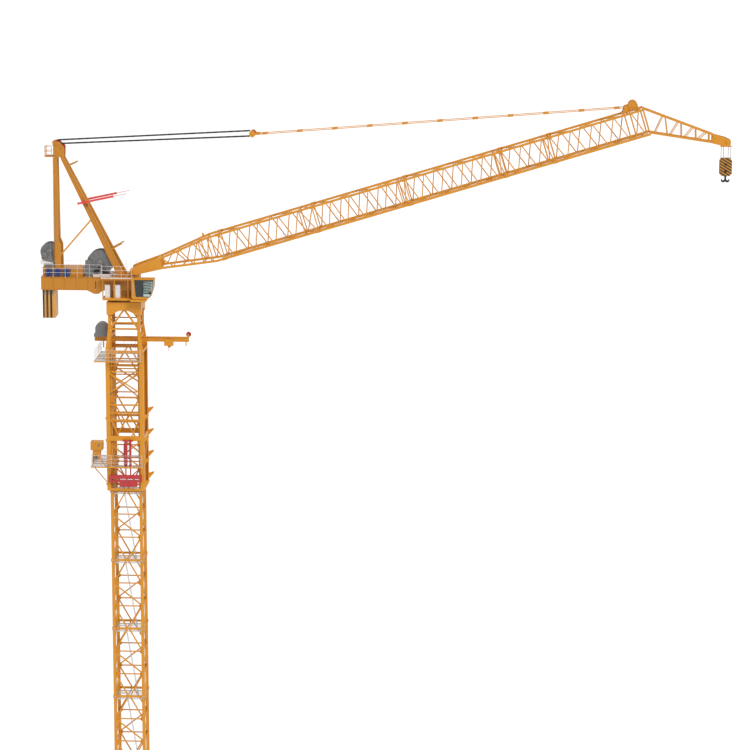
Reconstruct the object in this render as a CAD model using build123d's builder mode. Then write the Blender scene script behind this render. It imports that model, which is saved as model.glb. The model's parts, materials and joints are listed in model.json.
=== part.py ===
from build123d import *
from math import cos, hypot, radians, sin
import os

# A luffing-jib tower crane as a 1:2 scale model, in millimetres, +Z up and the boom towards +X.
# The origin is on the mast's axis, at the underside of the base frame.

# Mast
BAY = 3467
BAYS = 7
MAST_WIDTH = 1400
LEG = 145
COLLAR = 190
COLLAR_HEIGHT = 130
JOINT_BEAM = 100
THIRD_BEAM = 50
BRACE = 60
BRACE_DEPTH = 60
BAR_GAP = 6

# Base frame
BASE_BEAM = 300
BASE_HEIGHT = 160
FOOT_PLATE = 620
FOOT_THICKNESS = 50
ANCHOR_SPACING = 1860
ANCHOR_RADIUS = 24

# Rest platforms and ladders in the mast
FLOOR_DROP = 150
FLOOR_THICKNESS = 20
HATCH = 420
GUARD_HEIGHT = 550
GUARD_BAR = 22
LADDER_WIDTH = 230
LADDER_STILE = 30
LADDER_RUNG = 16
LADDER_LEAN = 560
RUNG_PITCH = 560
LADDER_HEAD_X = 210

# Climbing cage
CAGE_HALF = 910
CAGE_FLANGE = 200
CAGE_THICKNESS = 36
CAGE_BOTTOM = 17400
CAGE_TOP = 24300
CAGE_BAR = 60
CAGE_BEAM = 120
UPPER_WALKWAY = 23850
LOWER_WALKWAY = 18660
WALKWAY_THICKNESS = 60
WALKWAY_FRONT = 850
WALKWAY_SIDE = 1250
UPPER_BACK = 1410
LOWER_BACK = 1645
WEDGE_REACH = 250
CROSSHEAD_BOTTOM = 19870
CROSSHEAD_HEIGHT = 245
RAM_RADIUS = 55
RAM_SPACING = 230
RAM_X = 135
RAM_Y = -1000
CROSSBEAM_TOP = 18200
CROSSBEAM_HALF = 785

# Tower head, between the mast and the slewing support
HEAD_TOP = 26030
HEAD_MEET = 25330
HEAD_UPPER_BAR = 25640
HEAD_BAR = 80

# Monorail for new mast sections
MONORAIL_BOTTOM = 24610
MONORAIL_HEIGHT = 240
MONORAIL_WIDTH = 120
MONORAIL_END = 3040
MONORAIL_BACK = -1540
STOP_PLATE_X = 2870
AUXILIARY_RADIUS = 292
AUXILIARY_BASE = 140
AUXILIARY_HALF = 260
END_SHEAVE_RADIUS = 122
END_SHEAVE_RISE = 126
TROLLEY_X = 2054
TROLLEY_HALF = 218
TROLLEY_DROP = 290

# Slewing support and ring
SUPPORT_HALF = 830
SUPPORT_TOP = 26640
ARCH_HALF = 560
ARCH_RISE = 230
RING_RADIUS = 700
RING_HEIGHT = 60
BEARING_GAP = 0.3
PLATFORM_THICKNESS = 110
PLATFORM_BACK = -990
PLATFORM_FRONT = 1140
PLATFORM_Y = 1000

# Machinery deck
DECK_BACK = -4000
DECK_FRONT = 680
DECK_BOTTOM = 27173
DECK_TOP = 27809
DECK_HALF = 590
DECK_WALL = 50
GALLERY_BACK = -1050
GALLERY_FRONT = 1480
GALLERY_PLATE = 70
GALLERY_POST = 50
RAIL_HEIGHT = 600
PLINTH_HEIGHT = 430
PLINTH_HALF = 470
PLINTH_BACK = -3920
PLINTH_FRONT = -1990

# Counterweight
WEIGHT_BACK = -3950
WEIGHT_LENGTH = 600
WEIGHT_HEIGHT = 1380
WEIGHT_WIDTH = 1000

# A-frame. Its legs lean in towards the head.
FRAME_HALF = 450
FRAME_TOP_HALF = 240
FRAME_PLATE = 110
REAR_LEG_X = -3240
REAR_LEG_WIDTH = 155
REAR_LEG_FOOT = DECK_TOP + PLINTH_HEIGHT
HEAD_BOTTOM = 33530
HEAD_HEIGHT = 770
HEAD_PLATE = 100
FRONT_TOP_BACK = -3020
FRONT_FOOT_BACK = -290
FRONT_TOP_WIDTH = 165
FRONT_FOOT_WIDTH = 360
GUSSET_WIDTH = 115
GUSSET_RISE = 1340
BRACE_WIDTH = 65
BRACE_LOW_RISE = 1050
BRACE_HIGH_RISE = 2720
TOP_SHEAVE_X = -3180
TOP_SHEAVE_RISE = 610
TOP_SHEAVE_RADIUS = 180
LOW_SHEAVE_X = -2960
LOW_SHEAVE_RISE = 470
LOW_SHEAVE_RADIUS = 160
SHEAVE_THICKNESS = 40
SHEAVE_SIDES = 16
STOP_RISE = 3600
STOP_SLOPE = 0.2135
STOP_Y = 600
STOP_BOX = 150

# Boom, in its own plane: u along it from the foot pin, v square to it
PIN_X = 420
PIN_Z = 28110
PIN_RADIUS = 60
PIN_GAP = 0.3
BOOM_ANGLE = 16.9
BOOM_HALF = 640
CHORD = 100
TOP_V = 549
BOTTOM_V = -648
FOOT_END_U = 1445
FOOT_TOP_V = 215
FOOT_BOTTOM_V = -238
TOP_KINK_U = 3900
BOTTOM_KINK_U = 4050
BOOM_END_U = 25380
LACING = 50
LACING_DEPTH = 44
SIDE_GAP = 5
SEAT_GAP = 0.1
NODE_SHARE = 0.75
PITCH = 483
FRAMES_U = [3430, 3900, 4455, 8480, 9140, 13350, 13700, 18070, 18400, 20460, 20780, 24450, 24715]
END_POST_U = 25225

# Boom head, where the pendants are pinned
PENDANT_U = 24630
PENDANT_V = 825
PENDANT_HALF = 300
PENDANT_BAR = 50
PENDANT_PIN_RADIUS = 40
HEAD_SHEAVE_U = 24945
HEAD_SHEAVE_V = 830
HEAD_SHEAVE_RADIUS = 215

# Fly jib, down from the boom's head, and hook
JIB_HALF = 300
JIB_CHORD = 75
JIB_POST = 45
TIP_X = 28450
TIP_Z = 34460
TIP_SHEAVE_RADIUS = 180
GUARD_DROP = 210
FALL_PLACES = ((-230, -60), (-110, 60), (100, -60), (230, 60))
FALL_SIZE = 22
FALL_LENGTH = 545
BLOCK_TOP = TIP_Z - GUARD_DROP - FALL_LENGTH
BLOCK_HEIGHT = 845
BLOCK_WIDTH = 580
BLOCK_DEPTH = 260
HOOK_WIDTH = 390

# Luffing ropes and floating block
FLOAT_X = 6220
FLOAT_Z = 34700
FLOAT_LENGTH = 330
FLOAT_HEIGHT = 360
FLOAT_HALF = 340
ROPE_SIZE = 22
ROPE_RISE = 125
FALLS_Y = (-180, -60, 60, 180)
FALL_SHIFT = 30


def save(name, built):
    """Labels a finished piece and writes it to its own file."""
    built.part.label = name
    export_step(built.part, f"parts/{name}.step")


def block(low, high, mode=Mode.ADD):
    """A box between two opposite corners, in the part that is being built."""
    centre = tuple((a + b) / 2 for a, b in zip(low, high))
    size = tuple(b - a for a, b in zip(low, high))
    with Locations(centre):
        Box(*size, mode=mode)


def strut(start, end, width, start_face=None, end_face=None):
    """Outline of a straight bar from start to end. Each end is cut along the face it seats on,
    given as a direction, or square where none is given."""
    run = Vector(end[0] - start[0], end[1] - start[1]).normalized()
    outline = []
    for point, face, side in ((start, start_face, 1), (end, end_face, 1), (end, end_face, -1), (start, start_face, -1)):
        along = Vector(*face) if face else Vector(-run.Y, run.X)
        reach = side * width / 2 / (run.X * along.Y - run.Y * along.X)
        outline.append((point[0] + along.X * reach, point[1] + along.Y * reach))
    return outline


def plates(plane, outlines, thickness, cut=(), mode=Mode.ADD):
    """Flat pieces in one plane, with half their thickness to each side of it, less the outlines in cut."""
    with BuildSketch(plane, mode=Mode.PRIVATE) as shapes:
        add([Polygon(*outline, align=None, mode=Mode.PRIVATE) for outline in outlines])
        if cut:
            add([Polygon(*outline, align=None, mode=Mode.PRIVATE) for outline in cut], mode=Mode.SUBTRACT)
    extrude(shapes.sketch, amount=thickness / 2, both=True, mode=mode)


def rod(start, end, radius, sides=0, mode=Mode.ADD):
    """A bar between two points: round, or with flat sides that touch that radius."""
    line = Vector(*end) - Vector(*start)
    with BuildSketch(Plane(origin=start, z_dir=line), mode=Mode.PRIVATE) as section:
        if sides:
            RegularPolygon(radius, sides, major_radius=False)
        else:
            Circle(radius)
    extrude(section.sketch, amount=line.length, mode=mode)


def side_plane(y):
    """Upright plane across Y, where a point is (x, z)."""
    return Plane(origin=(0, y, 0), x_dir=(1, 0, 0), z_dir=(0, -1, 0))


def cross_plane(x):
    """Upright plane across X, where a point is (y, z)."""
    return Plane(origin=(x, 0, 0), x_dir=(0, 1, 0), z_dir=(1, 0, 0))


LEVEL = (1, 0)
PLUMB = (0, 1)
os.makedirs("parts", exist_ok=True)


# Mast
def base_frame():
    """Square ring of box beams with a plate under each leg and an anchor hole in each plate."""
    half = MAST_WIDTH / 2
    outer = half + BASE_BEAM / 2
    inner = half - BASE_BEAM / 2
    with BuildPart() as frame:
        block((-outer, -outer, 0), (outer, outer, BASE_HEIGHT))
        block((-inner, -inner, 0), (inner, inner, BASE_HEIGHT), mode=Mode.SUBTRACT)
        with BuildSketch(Plane.XY):
            with GridLocations(MAST_WIDTH, MAST_WIDTH, 2, 2):
                Rectangle(FOOT_PLATE, FOOT_PLATE)
        extrude(amount=FOOT_THICKNESS)
        with BuildSketch(Plane.XY):
            with GridLocations(ANCHOR_SPACING, ANCHOR_SPACING, 2, 2):
                Circle(ANCHOR_RADIUS)
        extrude(amount=FOOT_THICKNESS, mode=Mode.SUBTRACT)
    return frame


def mast_legs():
    """Four square legs in one run, with a collar at each joint between sections."""
    joints = [BAY * bay for bay in range(1, BAYS)]
    with BuildPart() as legs:
        with BuildSketch(Plane.XY.offset(BASE_HEIGHT)):
            with GridLocations(MAST_WIDTH, MAST_WIDTH, 2, 2):
                Rectangle(LEG, LEG)
        extrude(amount=BAY * BAYS - BASE_HEIGHT)
        for joint in joints:
            with BuildSketch(Plane.XY.offset(joint - COLLAR_HEIGHT / 2)):
                with GridLocations(MAST_WIDTH, MAST_WIDTH, 2, 2):
                    Rectangle(COLLAR, COLLAR)
            extrude(amount=COLLAR_HEIGHT)
    return legs


def mast_side_outlines():
    """Bars of one side of the mast. Each section has a thick beam at its joint and two thin ones at
    its thirds, a pair of bars down from the upper joint, one diagonal, and a pair down to the lower joint."""
    reach = (MAST_WIDTH - LEG) / 2
    collar_reach = (MAST_WIDTH - COLLAR) / 2
    apex = BRACE
    outlines = []
    for bay in range(BAYS):
        bottom = bay * BAY
        top = bottom + BAY
        low_third = bottom + BAY / 3
        high_third = top - BAY / 3
        floor = bottom + JOINT_BEAM / 2 if bay else BASE_HEIGHT
        for level in (low_third, high_third):
            outlines.append(strut((-reach, level), (reach, level), THIRD_BEAM))
        if bay < BAYS - 1:
            outlines.append(strut((-collar_reach, top), (collar_reach, top), JOINT_BEAM))
            ceiling = top - JOINT_BEAM / 2
        else:
            outlines.append(strut((-reach, top - JOINT_BEAM / 2), (reach, top - JOINT_BEAM / 2), JOINT_BEAM))
            ceiling = top - JOINT_BEAM
        clear = THIRD_BEAM / 2 + BRACE * 1.15 + BAR_GAP
        for side in (-1, 1):
            outlines.append(strut((side * apex, ceiling), (side * reach, high_third + clear), BRACE, LEVEL, PLUMB))
            outlines.append(strut((side * reach, low_third - clear), (side * apex, floor), BRACE, PLUMB, LEVEL))
        clear = THIRD_BEAM / 2 + BRACE * 0.75 + BAR_GAP
        outlines.append(strut((-reach, high_third - clear), (reach, low_third + clear), BRACE, PLUMB, PLUMB))
    return outlines


def mast_side():
    """The braced front of the mast, its bars set between the legs. The other sides are turned copies."""
    with BuildPart() as side:
        plates(side_plane(-MAST_WIDTH / 2), mast_side_outlines(), BRACE_DEPTH)
    return side


def mast_platforms():
    """A rest platform below each joint, cut round the legs, with a hatch at the head of the ladder."""
    half = (MAST_WIDTH - BRACE_DEPTH) / 2 - BEARING_GAP
    corner = LEG / 2 - BRACE_DEPTH / 2 + BEARING_GAP
    hatch_x = LADDER_HEAD_X + 40 + HATCH * 0.45
    with BuildPart() as floors:
        for bay in range(1, BAYS - 1):
            with BuildSketch(Plane.XY.offset(bay * BAY - FLOOR_DROP - FLOOR_THICKNESS)):
                Rectangle(2 * half, 2 * half)
                with GridLocations(2 * half - corner, 2 * half - corner, 2, 2):
                    Rectangle(corner, corner, mode=Mode.SUBTRACT)
                with Locations((hatch_x, 0)):
                    Rectangle(HATCH * 0.9, HATCH, mode=Mode.SUBTRACT)
            extrude(amount=FLOOR_THICKNESS)
    return floors


def mast_ladders():
    """One inclined ladder in each section, from a platform up to the hatch of the next."""
    with BuildPart() as ladders:
        for bay in range(BAYS - 2):
            foot = bay * BAY + (BASE_HEIGHT if bay == 0 else -FLOOR_DROP)
            head = (bay + 1) * BAY - FLOOR_DROP - FLOOR_THICKNESS
            start, end = (LADDER_HEAD_X - LADDER_LEAN, foot), (LADDER_HEAD_X, head)
            for y in (-LADDER_WIDTH / 2, LADDER_WIDTH / 2):
                plates(side_plane(y), [strut(start, end, LADDER_STILE, LEVEL, LEVEL)], LADDER_STILE / 2)
            count = int((head - foot) / RUNG_PITCH)
            shares = [rung / count for rung in range(1, count)]
            places = [(start[0] + LADDER_LEAN * share, 0, foot + (head - foot) * share) for share in shares]
            with Locations(*places):
                Box(LADDER_RUNG, LADDER_WIDTH, LADDER_RUNG)
    return ladders


save("base_frame", base_frame())
save("mast_legs", mast_legs())
mast_front = mast_side()
for turn, side in enumerate(("front", "right", "rear", "left")):
    with BuildPart() as turned:
        add(mast_front.part.rotate(Axis.Z, 90 * turn))
    save(f"mast_{side}_bracing", turned)
save("mast_platforms", mast_platforms())
save("mast_ladders", mast_ladders())


# Climbing cage
def cage_columns():
    """Four angle-section columns round the mast, with wedge-shaped guides on their edges."""
    flange = CAGE_FLANGE
    with BuildPart() as columns:
        with BuildSketch(Plane.XY.offset(CAGE_BOTTOM)):
            for x in (-1, 1):
                for y in (-1, 1):
                    outer = Vector(x * CAGE_HALF, y * CAGE_HALF)
                    inner = Vector(x * (CAGE_HALF - CAGE_THICKNESS), y * (CAGE_HALF - CAGE_THICKNESS))
                    end = Vector(x * (CAGE_HALF - flange), y * (CAGE_HALF - flange))
                    Polygon((outer.X, outer.Y), (end.X, outer.Y), (end.X, inner.Y), (inner.X, inner.Y),
                            (inner.X, end.Y), (outer.X, end.Y), align=None)
        extrude(amount=CAGE_TOP - CAGE_BOTTOM)
        for y in (-1, 1):
            wedges = []
            for step in range(4):
                z = CAGE_BOTTOM + 400 + step * 1085
                wedges.append([(CAGE_HALF, z + 90), (CAGE_HALF + WEDGE_REACH, z + 170), (CAGE_HALF + WEDGE_REACH, z + 90),
                               (CAGE_HALF, z - 200)])
                wedges.append([(-CAGE_HALF, z - 30), (-CAGE_HALF - 70, z - 30), (-CAGE_HALF, z - 180)])
            plates(side_plane(y * (CAGE_HALF - CAGE_THICKNESS / 2)), wedges, CAGE_THICKNESS)
    return columns


def cage_side(open_side):
    """One side of the cage in the plane of its columns: ring beams, crossheads and diagonals. The side
    that new sections come in by has no bars between its crosshead and its top beam."""
    reach = CAGE_HALF - CAGE_FLANGE
    crosshead_top = CROSSHEAD_BOTTOM + CROSSHEAD_HEIGHT
    walkway_beam = LOWER_WALKWAY - WALKWAY_THICKNESS / 2
    outlines = [strut((-reach, level), (reach, level), height) for level, height in (
        (CAGE_BOTTOM + CAGE_BEAM / 2, CAGE_BEAM), (walkway_beam, WALKWAY_THICKNESS),
        (CROSSHEAD_BOTTOM + CROSSHEAD_HEIGHT / 2, CROSSHEAD_HEIGHT), (CAGE_TOP - CAGE_BEAM / 2, CAGE_BEAM))]
    end = CAGE_BAR * 0.9
    low, high = walkway_beam + WALKWAY_THICKNESS / 2 + end, CROSSHEAD_BOTTOM - end
    outlines.append(strut((-reach, low), (reach, high), CAGE_BAR, PLUMB, PLUMB))
    if not open_side:
        for rise in (790, 1135, 1535, 3150, 3450):
            outlines.append(strut((-reach, crosshead_top + rise), (reach, crosshead_top + rise), CAGE_BAR))
        for side in (-1, 1):
            outlines.append(strut((side * reach * 0.94, crosshead_top + 790), (side * reach * 0.45, crosshead_top), CAGE_BAR,
                                  LEVEL, LEVEL))
        low, high = crosshead_top + 2150, crosshead_top + 3120 - end
        outlines.append(strut((-reach, high), (reach, low), CAGE_BAR, PLUMB, PLUMB))
        outlines.append(strut((-reach, low), (reach, high), CAGE_BAR, PLUMB, PLUMB))
    with BuildPart() as side:
        plates(side_plane(-CAGE_HALF + CAGE_THICKNESS / 2), outlines, CAGE_THICKNESS)
    return side


def tower_head():
    """Four legs between the mast and the slewing support, each side with two beams and a pair of braces."""
    half = MAST_WIDTH / 2
    reach = half - LEG / 2
    mast_top = BAY * BAYS
    crown = HEAD_TOP + ARCH_RISE * 0.93
    with BuildPart() as head:
        with BuildSketch(Plane.XY.offset(mast_top)):
            with GridLocations(MAST_WIDTH, MAST_WIDTH, 2, 2):
                Rectangle(LEG, LEG)
        extrude(amount=HEAD_TOP - mast_top)
        bars = [strut((-reach, HEAD_MEET), (reach, HEAD_MEET), HEAD_BAR),
                strut((-reach, HEAD_UPPER_BAR), (reach, HEAD_UPPER_BAR), HEAD_BAR * 0.6)]
        for side in (-1, 1):
            bars.append(strut((side * HEAD_BAR * 0.4, crown), (side * reach, HEAD_MEET + HEAD_BAR), HEAD_BAR, LEVEL, PLUMB))
        for y in (-half, half):
            plates(side_plane(y), bars, HEAD_BAR)
            plates(cross_plane(y), bars, HEAD_BAR)
    return head


def head_braces():
    """Slanted plates that draw each column of the cage in to a leg of the tower head."""
    low_y = CAGE_HALF - CAGE_THICKNESS / 2
    high_y = (MAST_WIDTH + LEG + CAGE_THICKNESS) / 2 + BEARING_GAP
    rise = HEAD_MEET - CAGE_TOP
    slant = hypot(rise, low_y - high_y)
    more = CAGE_THICKNESS / slant
    with BuildPart() as braces:
        for y in (-1, 1):
            plane = Plane(origin=(0, y * low_y, CAGE_TOP), x_dir=(1, 0, 0), z_dir=(0, -rise, y * (high_y - low_y)))
            outlines = []
            for x in (-1, 1):
                outer = (x * CAGE_HALF, x * (MAST_WIDTH + LEG) / 2)
                inner = (x * (CAGE_HALF - CAGE_FLANGE), x * (MAST_WIDTH - LEG) / 2)
                outlines.append([(low + (high - low) * share, slant * share) for (low, high), share in
                                 ((outer, -more), (outer, 1 + more), (inner, 1 + more), (inner, -more))])
            plates(plane, outlines, CAGE_THICKNESS)
        block((-CAGE_HALF * 2, -CAGE_HALF * 2, CAGE_TOP), (CAGE_HALF * 2, CAGE_HALF * 2, HEAD_MEET), mode=Mode.INTERSECT)
    return braces


def railing(points, base, height, count):
    """A guard rail: posts along a run between two points, with a top rail and a middle rail."""
    (x0, y0), (x1, y1) = points
    places = [(x0 + (x1 - x0) * step / count, y0 + (y1 - y0) * step / count) for step in range(count + 1)]
    with Locations(*[(x, y, base + height / 2) for x, y in places]):
        Box(GUARD_BAR, GUARD_BAR, height)
    length = hypot(x1 - x0, y1 - y0)
    turned = (GUARD_BAR, length) if x0 == x1 else (length, GUARD_BAR)
    with Locations(*[((x0 + x1) / 2, (y0 + y1) / 2, base + share * height - GUARD_BAR / 2) for share in (0.5, 1)]):
        Box(*turned, GUARD_BAR)


def cage_platform(level, back_x, strut_drop):
    """A walkway round three sides of the cage with its guard rail, and struts under its far end."""
    inner = CAGE_HALF + BEARING_GAP
    low = level - WALKWAY_THICKNESS
    ram_side = RAM_RADIUS + 10 - RAM_Y
    with BuildPart() as walkway:
        with BuildSketch(Plane.XY.offset(low)):
            Polygon((-back_x, -WALKWAY_SIDE), (WALKWAY_FRONT, -WALKWAY_SIDE), (WALKWAY_FRONT, -inner), (-inner, -inner),
                    (-inner, inner), (WALKWAY_FRONT, inner), (WALKWAY_FRONT, WALKWAY_SIDE), (-back_x, WALKWAY_SIDE), align=None)
            with Locations((RAM_X, -(inner + ram_side) / 2)):
                Rectangle(RAM_SPACING + 2 * RAM_RADIUS + 40, ram_side - inner, mode=Mode.SUBTRACT)
        extrude(amount=WALKWAY_THICKNESS)
        edge = GUARD_BAR / 2
        left, right, side = -back_x + edge, WALKWAY_FRONT - edge, WALKWAY_SIDE - edge
        railing(((left, -side), (right, -side)), level, GUARD_HEIGHT, 4)
        railing(((left, side), (right, side)), level, GUARD_HEIGHT, 4)
        railing(((left, -side), (left, side)), level, GUARD_HEIGHT, 2)
        if strut_drop:
            for y in (-CAGE_HALF + CAGE_THICKNESS / 2, CAGE_HALF - CAGE_THICKNESS / 2):
                plates(side_plane(y), [strut((-back_x + 120, low), (-inner, low - strut_drop), CAGE_BAR, LEVEL, PLUMB)], CAGE_THICKNESS)
    return walkway


def climbing_gear():
    """Two hydraulic rams that hang from the crosshead, and the double crossbeam that they push down on."""
    top = CROSSHEAD_BOTTOM + 60
    wide = CROSSBEAM_TOP - 180
    narrow = wide - 70
    side = RAM_RADIUS + 15
    with BuildPart() as gear:
        block((RAM_X - 250, RAM_Y - side, top - 60), (RAM_X + 250, -CAGE_HALF - BEARING_GAP, top))
        for x in (RAM_X - RAM_SPACING / 2, RAM_X + RAM_SPACING / 2):
            rod((x, RAM_Y, CROSSBEAM_TOP + 380), (x, RAM_Y, top - 60), RAM_RADIUS, sides=12)
            rod((x, RAM_Y, CROSSBEAM_TOP), (x, RAM_Y, CROSSBEAM_TOP + 380), RAM_RADIUS * 0.55, sides=8)
        block((-CROSSBEAM_HALF, RAM_Y - side, wide), (CROSSBEAM_HALF, RAM_Y + side, CROSSBEAM_TOP))
        block((-CROSSBEAM_HALF, RAM_Y - side, narrow - 100), (CROSSBEAM_HALF, RAM_Y + side, narrow))
        for x in (-1, 1):
            block((x * (CROSSBEAM_HALF - 60) - 60, RAM_Y - side, narrow), (x * (CROSSBEAM_HALF - 60) + 60, RAM_Y + side, wide))
            plates(side_plane(RAM_Y), [strut((RAM_X + x * 210, CROSSBEAM_TOP), (RAM_X + x * 555, CROSSBEAM_TOP + 320), 50, LEVEL)], 60)
        block((RAM_X - 430, RAM_Y - side, narrow - 310), (RAM_X + 430, RAM_Y + side, narrow - 100))
    return gear


def hydraulic_unit():
    """Climbing pump on the lower walkway: four legs, a motor case, and a wider tank on top."""
    low = LOWER_WALKWAY + BEARING_GAP
    x, y = -1386, -820
    with BuildPart() as unit:
        with Locations((x, y, low + 130)):
            with GridLocations(400, 340, 2, 2):
                Box(40, 40, 260)
        block((x - 225, y - 190, low + 260), (x + 225, y + 190, low + 300))
        block((x - 200, y - 160, low + 300), (x + 170, y + 160, low + 760))
        block((x - 290, y - 230, low + 760), (x + 290, y + 230, low + 1180))
    return unit


save("cage_columns", cage_columns())
cage_closed = cage_side(False)
cage_open = cage_side(True)
for turn, (side, model) in enumerate((("front", cage_closed), ("right", cage_open), ("rear", cage_closed), ("left", cage_closed))):
    with BuildPart() as turned:
        add(model.part.rotate(Axis.Z, 90 * turn))
    save(f"cage_{side}_frame", turned)
save("cage_upper_walkway", cage_platform(UPPER_WALKWAY, UPPER_BACK, 0))
save("cage_lower_walkway", cage_platform(LOWER_WALKWAY, LOWER_BACK, 780))
save("climbing_gear", climbing_gear())
save("hydraulic_unit", hydraulic_unit())
save("tower_head", tower_head())
save("head_braces", head_braces())


# Monorail and the auxiliary winch
MONORAIL_TOP = MONORAIL_BOTTOM + MONORAIL_HEIGHT
END_SHEAVE_X = MONORAIL_END - 20


def monorail_beam():
    """I-section beam through the tower head, with a stop plate and a sheave bracket at its end."""
    web = MONORAIL_WIDTH / 6
    flange = MONORAIL_HEIGHT / 8
    reach = (MAST_WIDTH - LEG) / 2
    with BuildPart() as beam:
        with BuildSketch(Plane(origin=(MONORAIL_BACK, 0, MONORAIL_BOTTOM + MONORAIL_HEIGHT / 2), x_dir=(0, 1, 0), z_dir=(1, 0, 0))):
            Rectangle(MONORAIL_WIDTH, MONORAIL_HEIGHT)
            with Locations((-(MONORAIL_WIDTH + web) / 4, 0), ((MONORAIL_WIDTH + web) / 4, 0)):
                Rectangle((MONORAIL_WIDTH - web) / 2, MONORAIL_HEIGHT - 2 * flange, mode=Mode.SUBTRACT)
        extrude(amount=MONORAIL_END - MONORAIL_BACK)
        for x in (-MAST_WIDTH / 2, MAST_WIDTH / 2):
            block((x - 60, -reach, MONORAIL_TOP), (x + 60, reach, MONORAIL_TOP + 120))
        block((STOP_PLATE_X, -MONORAIL_WIDTH / 2, MONORAIL_BOTTOM - 210), (STOP_PLATE_X + 40, MONORAIL_WIDTH / 2, MONORAIL_BOTTOM))
        block((MONORAIL_BACK + 400, -40, MONORAIL_BOTTOM - 310), (MONORAIL_BACK + 450, 40, MONORAIL_BOTTOM))
        for y in (-1, 1):
            near, far = sorted((y * 30, y * 50))
            block((END_SHEAVE_X - 50, near, MONORAIL_TOP), (END_SHEAVE_X + 20, far, MONORAIL_TOP + END_SHEAVE_RISE + 30))
        rod((END_SHEAVE_X, -50, MONORAIL_TOP + END_SHEAVE_RISE), (END_SHEAVE_X, 50, MONORAIL_TOP + END_SHEAVE_RISE), 18, sides=8)
    return beam


def monorail_sheave():
    """Rope sheave at the end of the monorail."""
    centre = MONORAIL_TOP + END_SHEAVE_RISE
    with BuildPart() as sheave:
        rod((END_SHEAVE_X, -26, centre), (END_SHEAVE_X, 26, centre), END_SHEAVE_RADIUS, sides=24)
        rod((END_SHEAVE_X, -26, centre), (END_SHEAVE_X, 26, centre), 18.3, sides=8, mode=Mode.SUBTRACT)
    return sheave


def monorail_trolley():
    """Trolley that runs on the monorail's lower flange, with a hook for a new section."""
    low = MONORAIL_BOTTOM - TROLLEY_DROP
    wheel_z = MONORAIL_BOTTOM + MONORAIL_HEIGHT / 8 + 38 / cos(radians(15)) + BEARING_GAP
    side = MONORAIL_WIDTH / 2 + 10
    with BuildPart() as trolley:
        for y in (-1, 1):
            near, far = sorted((y * side, y * (side + 20)))
            block((TROLLEY_X - TROLLEY_HALF, near, low + 150), (TROLLEY_X + TROLLEY_HALF, far, wheel_z + 50))
            for wheel in (-110, 110):
                rod((TROLLEY_X + wheel, y * 20, wheel_z), (TROLLEY_X + wheel, y * side, wheel_z), 38, sides=12)
        block((TROLLEY_X - TROLLEY_HALF, -side - 20, low + 90), (TROLLEY_X + TROLLEY_HALF, side + 20, low + 150))
        plates(side_plane(0), [[(TROLLEY_X - 60, low + 90), (TROLLEY_X + 60, low + 90), (TROLLEY_X + 120, low + 40), (TROLLEY_X + 60, low),
                                (TROLLEY_X - 60, low), (TROLLEY_X - 40, low + 45)]], 50)
    return trolley


def auxiliary_winch():
    """Round-topped winch on its base at the back end of the monorail."""
    low = MONORAIL_TOP
    high = low + AUXILIARY_BASE
    centre = MONORAIL_BACK + 70 + AUXILIARY_RADIUS
    with BuildPart() as winch:
        block((MONORAIL_BACK, -AUXILIARY_HALF, low), (MONORAIL_BACK + 2 * AUXILIARY_RADIUS + 110, AUXILIARY_HALF, high))
        block((centre - AUXILIARY_RADIUS, -AUXILIARY_HALF, high), (centre + AUXILIARY_RADIUS, AUXILIARY_HALF, high + 260))
        rod((centre, -AUXILIARY_HALF, high + 260), (centre, AUXILIARY_HALF, high + 260), AUXILIARY_RADIUS, sides=24)
    return winch


def slewing_support():
    """Box under the slewing ring, arched between its four feet, and the ring's fixed half."""
    rises = ((-1, 0), (-0.75, 0.45), (-0.4, 0.85), (0, 1), (0.4, 0.85), (0.75, 0.45), (1, 0))
    arch = [(ARCH_HALF * run, HEAD_TOP + ARCH_RISE * rise) for run, rise in rises]
    arch += [(ARCH_HALF, HEAD_TOP - 10), (-ARCH_HALF, HEAD_TOP - 10)]
    with BuildPart() as support:
        block((-SUPPORT_HALF, -SUPPORT_HALF, HEAD_TOP), (SUPPORT_HALF, SUPPORT_HALF, SUPPORT_TOP))
        plates(side_plane(0), [arch], 2 * SUPPORT_HALF + 20, mode=Mode.SUBTRACT)
        plates(cross_plane(0), [arch], 2 * SUPPORT_HALF + 20, mode=Mode.SUBTRACT)
        rod((0, 0, SUPPORT_TOP), (0, 0, SUPPORT_TOP + RING_HEIGHT), RING_RADIUS)
    return support


save("monorail_beam", monorail_beam())
save("monorail_sheave", monorail_sheave())
save("monorail_trolley", monorail_trolley())
save("auxiliary_winch", auxiliary_winch())
save("slewing_support", slewing_support())

# Upper works
PLATFORM_BOTTOM = SUPPORT_TOP + RING_HEIGHT + BEARING_GAP + RING_HEIGHT
PLATFORM_TOP = PLATFORM_BOTTOM + PLATFORM_THICKNESS
CAB_WALL = 30
CAB_NEAR = -1360
CAB_FAR = -720
CAB_LOW = PLATFORM_TOP + 30
CAB_HIGH = DECK_TOP + 35
CAB_BACK = 460
CAB_SIDE = [(CAB_BACK, CAB_LOW + 70), (CAB_BACK, CAB_HIGH), (1525, CAB_HIGH), (1505, CAB_HIGH - 400), (1360, CAB_LOW + 95),
            (1150, CAB_LOW), (CAB_BACK + 60, CAB_LOW)]
WINDOW_BACK = 1010
WINDOW_LOW = CAB_LOW + 270
WINDOW_HIGH = CAB_HIGH - 90


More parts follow.
